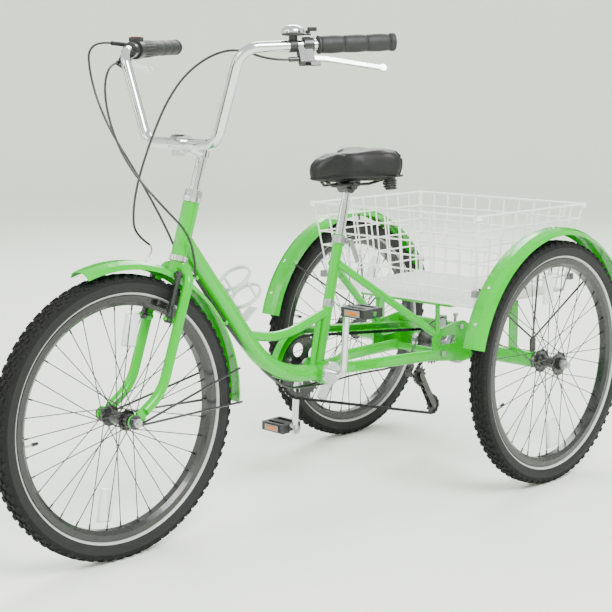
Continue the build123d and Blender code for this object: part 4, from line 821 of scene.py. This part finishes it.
class OBJECT_OT_tricycle_controls(bpy.types.Operator):
    """Build the grips, the bell, the gear window and the brake noodle"""

    bl_idname = "object.tricycle_controls"
    bl_label = "Controls"

    def execute(self, context):
        sizes = context.scene.tricycle_sizes
        self.grips(sizes.grip_radius)
        self.bell(sizes.bell_radius)
        self.window()
        self.noodle()
        return {"FINISHED"}

    def grips(self, radius):
        """Swelling grips in three lengths, with a collar and a flared end."""
        mesh = bmesh.new()
        hole = BAR_RADIUS + 0.0001
        for hand, start in ((1, BAR_RUN - 0.162), (-1, 0.1606)):
            way = mirrored(BAR_WAY, hand)
            length = BAR_RUN + 0.003 - start
            profile = [(0, hole), (0, radius), (0.001, radius + 0.0012), (0.005, radius + 0.0012)]
            part = (length - 0.018) / 3
            for number in range(3):
                base = 0.006 + number * part
                profile.append((base, radius - 0.0014))
                for step in range(9):
                    swell = math.sin(math.pi * step / 8)
                    profile.append((base + 0.0012 + (part - 0.0024) * step / 8, radius - 0.0004 + 0.0011 * swell))
                profile.append((base + part, radius - 0.0014))
            profile += [
                (length - 0.010, radius + 0.0006), (length - 0.006, radius + 0.0012), (length - 0.0015, radius + 0.0012),
                (length, radius + 0.0006), (length, 0.0),
            ]
            lathe(mesh, mirrored(BAR_CORNER, hand) + way * start, way, profile, 40)
        piece("soft_grips", mesh, ("grip_rubber",), "steering", ("grips",))

    def bell(self, radius):
        """A strap, a black base and a bright dome with a screw."""
        mesh = bmesh.new()
        centre = BAR_CORNER + BAR_WAY * 0.109
        lathe(
            mesh, centre - BAR_WAY * 0.008, BAR_WAY,
            [(0, 0.0112), (0, 0.0134), (0.016, 0.0134), (0.016, 0.0112)], 40, 0,
        )
        lathe(
            mesh, centre, UP,
            [(0.010, 0), (0.010, 0.008), (0.019, 0.009), (0.0205, radius - 0.001), (0.0245, radius), (0.0245, 0)],
            48, 0,
        )
        dome = [(0.0258, radius - 0.0012), (0.0258, radius + 0.0002), (0.0268, radius)]
        for step in range(1, 12):
            angle = math.radians(90 - step * 7.6)
            dome.append((0.0268 + 0.0155 * math.cos(angle), radius * math.sin(angle)))
        dome += [(0.0424, 0.0)]
        lathe(mesh, centre, UP, dome, 56, 1)
        lathe(mesh, centre, UP, [(0.0415, 0), (0.0415, 0.004), (0.0436, 0.0036), (0.0440, 0)], 20, 1)
        brick(mesh, centre + BAR_WAY * 0.024 + UP * 0.0216, BAR_WAY, UP, (0.026, 0.010, 0.0030), 1, 0, 0.0008)
        pivot = joint_place("bell_lever")
        lathe(mesh, pivot - UP * 0.004, UP, [(0, 0), (0, 0.0019), (0.0038, 0.0019), (0.0038, 0)], 16, 0)
        piece("bright_bell", mesh, ("moulded_plastic", "chrome"), "steering", ("bell",))

    def window(self):
        """The gear window on the shifter, with its index line."""
        mesh = bmesh.new()
        way = mirrored(BAR_WAY, -1)
        place = mirrored(BAR_CORNER, -1) + way * 0.079 + UP * 0.0282
        brick(mesh, place, way, UP, (0.018, 0.020, 0.0020), 0.9, 0, 0.0005)
        brick(mesh, place + UP * 0.0010, way, UP, (0.0012, 0.016, 0.0008), 1, 1)
        piece("gear_window_lens", mesh, ("gear_window", "clear_lens"), "steering")

    def noodle(self):
        """The bent metal guide that leads the front brake's cable."""
        end = Vector(FRONT_BRAKE_ROUTE[-1])
        top = BRAKE_PIVOT + STEER_AHEAD * 0.019 + STEER_UP * 0.106
        bend = [
            end, end + Vector((-0.006, 0.0, -0.006)), Vector((0.3900, -0.077, 0.628)),
            top - ACROSS * 0.078 + STEER_UP * 0.004, top - ACROSS * 0.064, top - ACROSS * 0.040,
        ]
        tube("brake_noodle", bend, 0.0024, ("pale_alloy",), "steering")


class OBJECT_OT_tricycle_trim(bpy.types.Operator):
    """Build the pedal reflectors, basket clips, rivets, frame joints and bands"""

    bl_idname = "object.tricycle_trim"
    bl_label = "Trim"

    def execute(self, context):
        self.pedals()
        self.clips()
        self.rivets()
        self.welds()
        self.band()
        return {"FINISHED"}

    def pedals(self):
        """An amber lens in a grey frame on the two ends of each pedal."""
        for side in ("left", "right"):
            low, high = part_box("pedal_" + side)
            middle = (low + high) / 2
            mesh = bmesh.new()
            for hand in (1, -1):
                ahead = Vector((hand, 0, 0))
                spot = Vector((high.x if hand > 0 else low.x, middle.y, middle.z))
                brick(mesh, spot + ahead * 0.0002, ACROSS, ahead, (0.046, 0.015, 0.003), 1, 1, 0.0008)
                brick(mesh, spot + ahead * 0.0018, ACROSS, ahead, (0.038, 0.010, 0.0026), 0.94, 0, 0.0006)
            for row in (-0.026, 0.026):
                for number in range(7):
                    for face in (1, -1):
                        at = Vector((middle.x + row, low.y + 0.010 + number * 0.009, middle.z + face * 0.0113))
                        brick(mesh, at, ACROSS, UP * face, (0.004, 0.004, 0.0022), 0.6, 1)
            piece(
                "pedal_trim_" + side, mesh, ("amber_lens", "grey_plastic"), side + "_pedal"
            )

    def clips(self):
        """Grey clips low on the basket's corners."""
        low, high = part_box("basket_sides")
        inset = 0.024
        mesh = bmesh.new()
        for x in (low.x + inset, high.x - inset):
            for y in (low.y + inset, high.y - inset):
                brick(
                    mesh, Vector((x, y, low.z + 0.038)), Vector((1, 0, 0)), UP, (0.017, 0.017, 0.017), 0.95, 0, 0.002
                )
        piece("basket_clips", mesh, ("grey_plastic",), "frame")

    def rivets(self):
        """Domed rivets on the fenders, where their stays hold them."""
        mesh = bmesh.new()
        dome = [(-0.001, 0.0), (-0.001, 0.0046), (0.0008, 0.0044), (0.0022, 0.0028), (0.0027, 0.0)]
        for centre in (REAR_AXLE + ACROSS * HALF_TRACK, REAR_AXLE - ACROSS * HALF_TRACK):
            for turn in (24, 40, 90, 140, 156):
                outward = Vector((math.cos(math.radians(turn)), 0, math.sin(math.radians(turn))))
                lathe(mesh, centre + outward * FENDER_RIVET_REACH["rear"], outward, dome, 14)
        piece("rear_fender_rivets", mesh, ("pale_alloy",), "frame")
        mesh = bmesh.new()
        for turn in (118, 169, 181):
            outward = Vector((math.cos(math.radians(turn)), 0, math.sin(math.radians(turn))))
            lathe(mesh, FRONT_AXLE + outward * FENDER_RIVET_REACH["front"], outward, dome, 14)
        piece("front_fender_rivets", mesh, ("pale_alloy",), "steering")

    def welds(self):
        """Rounded weld beads where the axle's tube meets its two plates."""
        beads = (
            (REAR_AXLE + ACROSS * 0.1035, 0.0222),
            (REAR_AXLE - ACROSS * 0.1035, 0.0222),
        )
        mesh = bmesh.new()
        for place, radius in beads:
            ring = [
                (0.0022 * math.cos(a * math.pi / 4), radius + 0.0016 * math.sin(a * math.pi / 4)) for a in range(9)
            ]
            lathe(mesh, place, ACROSS, ring, 36)
        piece("weld_beads", mesh, ("gloss_green",), "frame")

    def band(self):
        """A pale band round the seat tube."""
        mesh = bmesh.new()
        way = joint_axis("seat_height")
        place = Vector((-0.0850, 0, 0.4590))
        lathe(
            mesh, place, way,
            [(0, 0.0129), (0, 0.0136), (0.001, 0.0138), (0.017, 0.0138), (0.018, 0.0136), (0.018, 0.0129)], 40,
        )
        piece("seat_tube_band", mesh, ("brushed_steel",), "frame")


class OBJECT_OT_tricycle_stage(bpy.types.Operator):
    """Lay the floor, hang the lights and set the camera"""

    bl_idname = "object.tricycle_stage"
    bl_label = "Stage"

    def execute(self, context):
        scene = context.scene
        mesh = bmesh.new()
        sweep = [(0, 0)] + [(0, r) for r in (1, 2, 3, 4, 5.5, 7)]
        sweep += [(3 - 3 * math.cos(math.radians(a)), 7 + 3 * math.sin(math.radians(a))) for a in range(10, 91, 10)]
        sweep.append((6.5, 10))
        lathe(mesh, Vector((0, 0, -0.0005)), UP, sweep, 64)
        data = bpy.data.meshes.new("backdrop")
        mesh.to_mesh(data)
        mesh.free()
        data.materials.append(FINISHES["floor_paper"])
        for face in data.polygons:
            face.use_smooth = True
        floor = bpy.data.objects.new("backdrop", data)
        scene.collection.objects.link(floor)
        self.light("key_light", (1.0, 3.6, 4.4), 2.6, 480)
        self.light("fill_light", (4.2, -1.2, 2.6), 3.0, 130)
        self.light("back_light", (-3.2, -2.4, 3.8), 3.0, 260)
        cards = ((104, 3.0, 1.1), (-14, 3.0, 1.1), (200, 4, 2.0), (-112, 4, 2.0))
        for number, (angle, reach, width) in enumerate(cards):
            self.flag("flag_" + str(number), angle, reach, width)
        world = bpy.data.worlds.new("studio")
        world.use_nodes = True
        world.node_tree.nodes["Background"].inputs["Color"].default_value = (0.90, 0.93, 0.88, 1)
        world.node_tree.nodes["Background"].inputs["Strength"].default_value = 1.35
        scene.world = world
        lens = bpy.data.cameras.new("camera")
        lens.lens, lens.sensor_width = 79.8, 36.0
        lens.clip_start, lens.clip_end = 0.05, 100
        camera = bpy.data.objects.new("camera", lens)
        scene.collection.objects.link(camera)
        camera.location = (2.236, 2.215, 1.0145)
        yaw, pitch, roll = math.radians(-135.4), math.radians(-9.8), math.radians(-0.27)
        look = Vector((math.cos(yaw) * math.cos(pitch), math.sin(yaw) * math.cos(pitch), math.sin(pitch)))
        turn = look.to_track_quat("-Z", "Y").to_matrix() @ Matrix.Rotation(roll, 3, "Z")
        camera.rotation_euler = turn.to_euler()
        scene.camera = camera
        return {"FINISHED"}

    def flag(self, name, angle, reach, width):
        """A dark card that only reflections see, so that bright metal shows dark edges."""
        way = Vector((math.cos(math.radians(angle)), math.sin(math.radians(angle)), 0))
        aside = way.cross(UP) * (width / 2)
        base = way * reach
        mesh = bmesh.new()
        corners = [base - aside, base + aside, base + aside + UP * 2.6, base - aside + UP * 2.6]
        mesh.faces.new([mesh.verts.new(c + UP * 0.02) for c in corners])
        data = bpy.data.meshes.new(name)
        mesh.to_mesh(data)
        mesh.free()
        data.materials.append(FINISHES["flag_black"])
        item = bpy.data.objects.new(name, data)
        bpy.context.scene.collection.objects.link(item)
        item.visible_camera = item.visible_diffuse = item.visible_shadow = False

    def light(self, name, place, size, power):
        """A soft square light that looks at the tricycle."""
        lamp = bpy.data.lights.new(name, "AREA")
        lamp.size, lamp.energy = size, power
        item = bpy.data.objects.new(name, lamp)
        item.location = place
        item.rotation_euler = (Vector((0, 0, 0.5)) - Vector(place)).to_track_quat("-Z", "Y").to_euler()
        bpy.context.scene.collection.objects.link(item)


STEPS = (
    OBJECT_OT_tricycle_finishes,
    OBJECT_OT_tricycle_tyres,
    OBJECT_OT_tricycle_saddle,
    OBJECT_OT_tricycle_chain,
    OBJECT_OT_tricycle_cables,
    OBJECT_OT_tricycle_controls,
    OBJECT_OT_tricycle_trim,
    OBJECT_OT_tricycle_stage,
)


class VIEW3D_PT_tricycle(bpy.types.Panel):
    """Lists the tricycle's pieces with their settings"""

    bl_idname = "VIEW3D_PT_tricycle"
    bl_label = "Adult Tricycle"
    bl_space_type = "VIEW_3D"
    bl_region_type = "UI"
    bl_category = "Tricycle"

    def draw(self, context):
        for step in STEPS:
            self.layout.operator(step.bl_idname)
        for group in (context.scene.tricycle_sizes, context.scene.tricycle_colours):
            for key in group.__annotations__:
                self.layout.prop(group, key)


def register():
    """Add the settings, operators and panel to Blender."""
    for item in (TricycleSizes, TricycleColours, *STEPS, VIEW3D_PT_tricycle):
        bpy.utils.register_class(item)
    bpy.types.Scene.tricycle_sizes = bpy.props.PointerProperty(type=TricycleSizes)
    bpy.types.Scene.tricycle_colours = bpy.props.PointerProperty(type=TricycleColours)


def unregister():
    """Take the settings, operators and panel out again."""
    del bpy.types.Scene.tricycle_colours
    del bpy.types.Scene.tricycle_sizes
    for item in reversed((TricycleSizes, TricycleColours, *STEPS, VIEW3D_PT_tricycle)):
        bpy.utils.unregister_class(item)


def main():
    """Build every piece in order."""
    register()
    for step in STEPS:
        group, name = step.bl_idname.split(".")
        getattr(getattr(bpy.ops, group), name)()


if __name__ == "__main__":
    main()
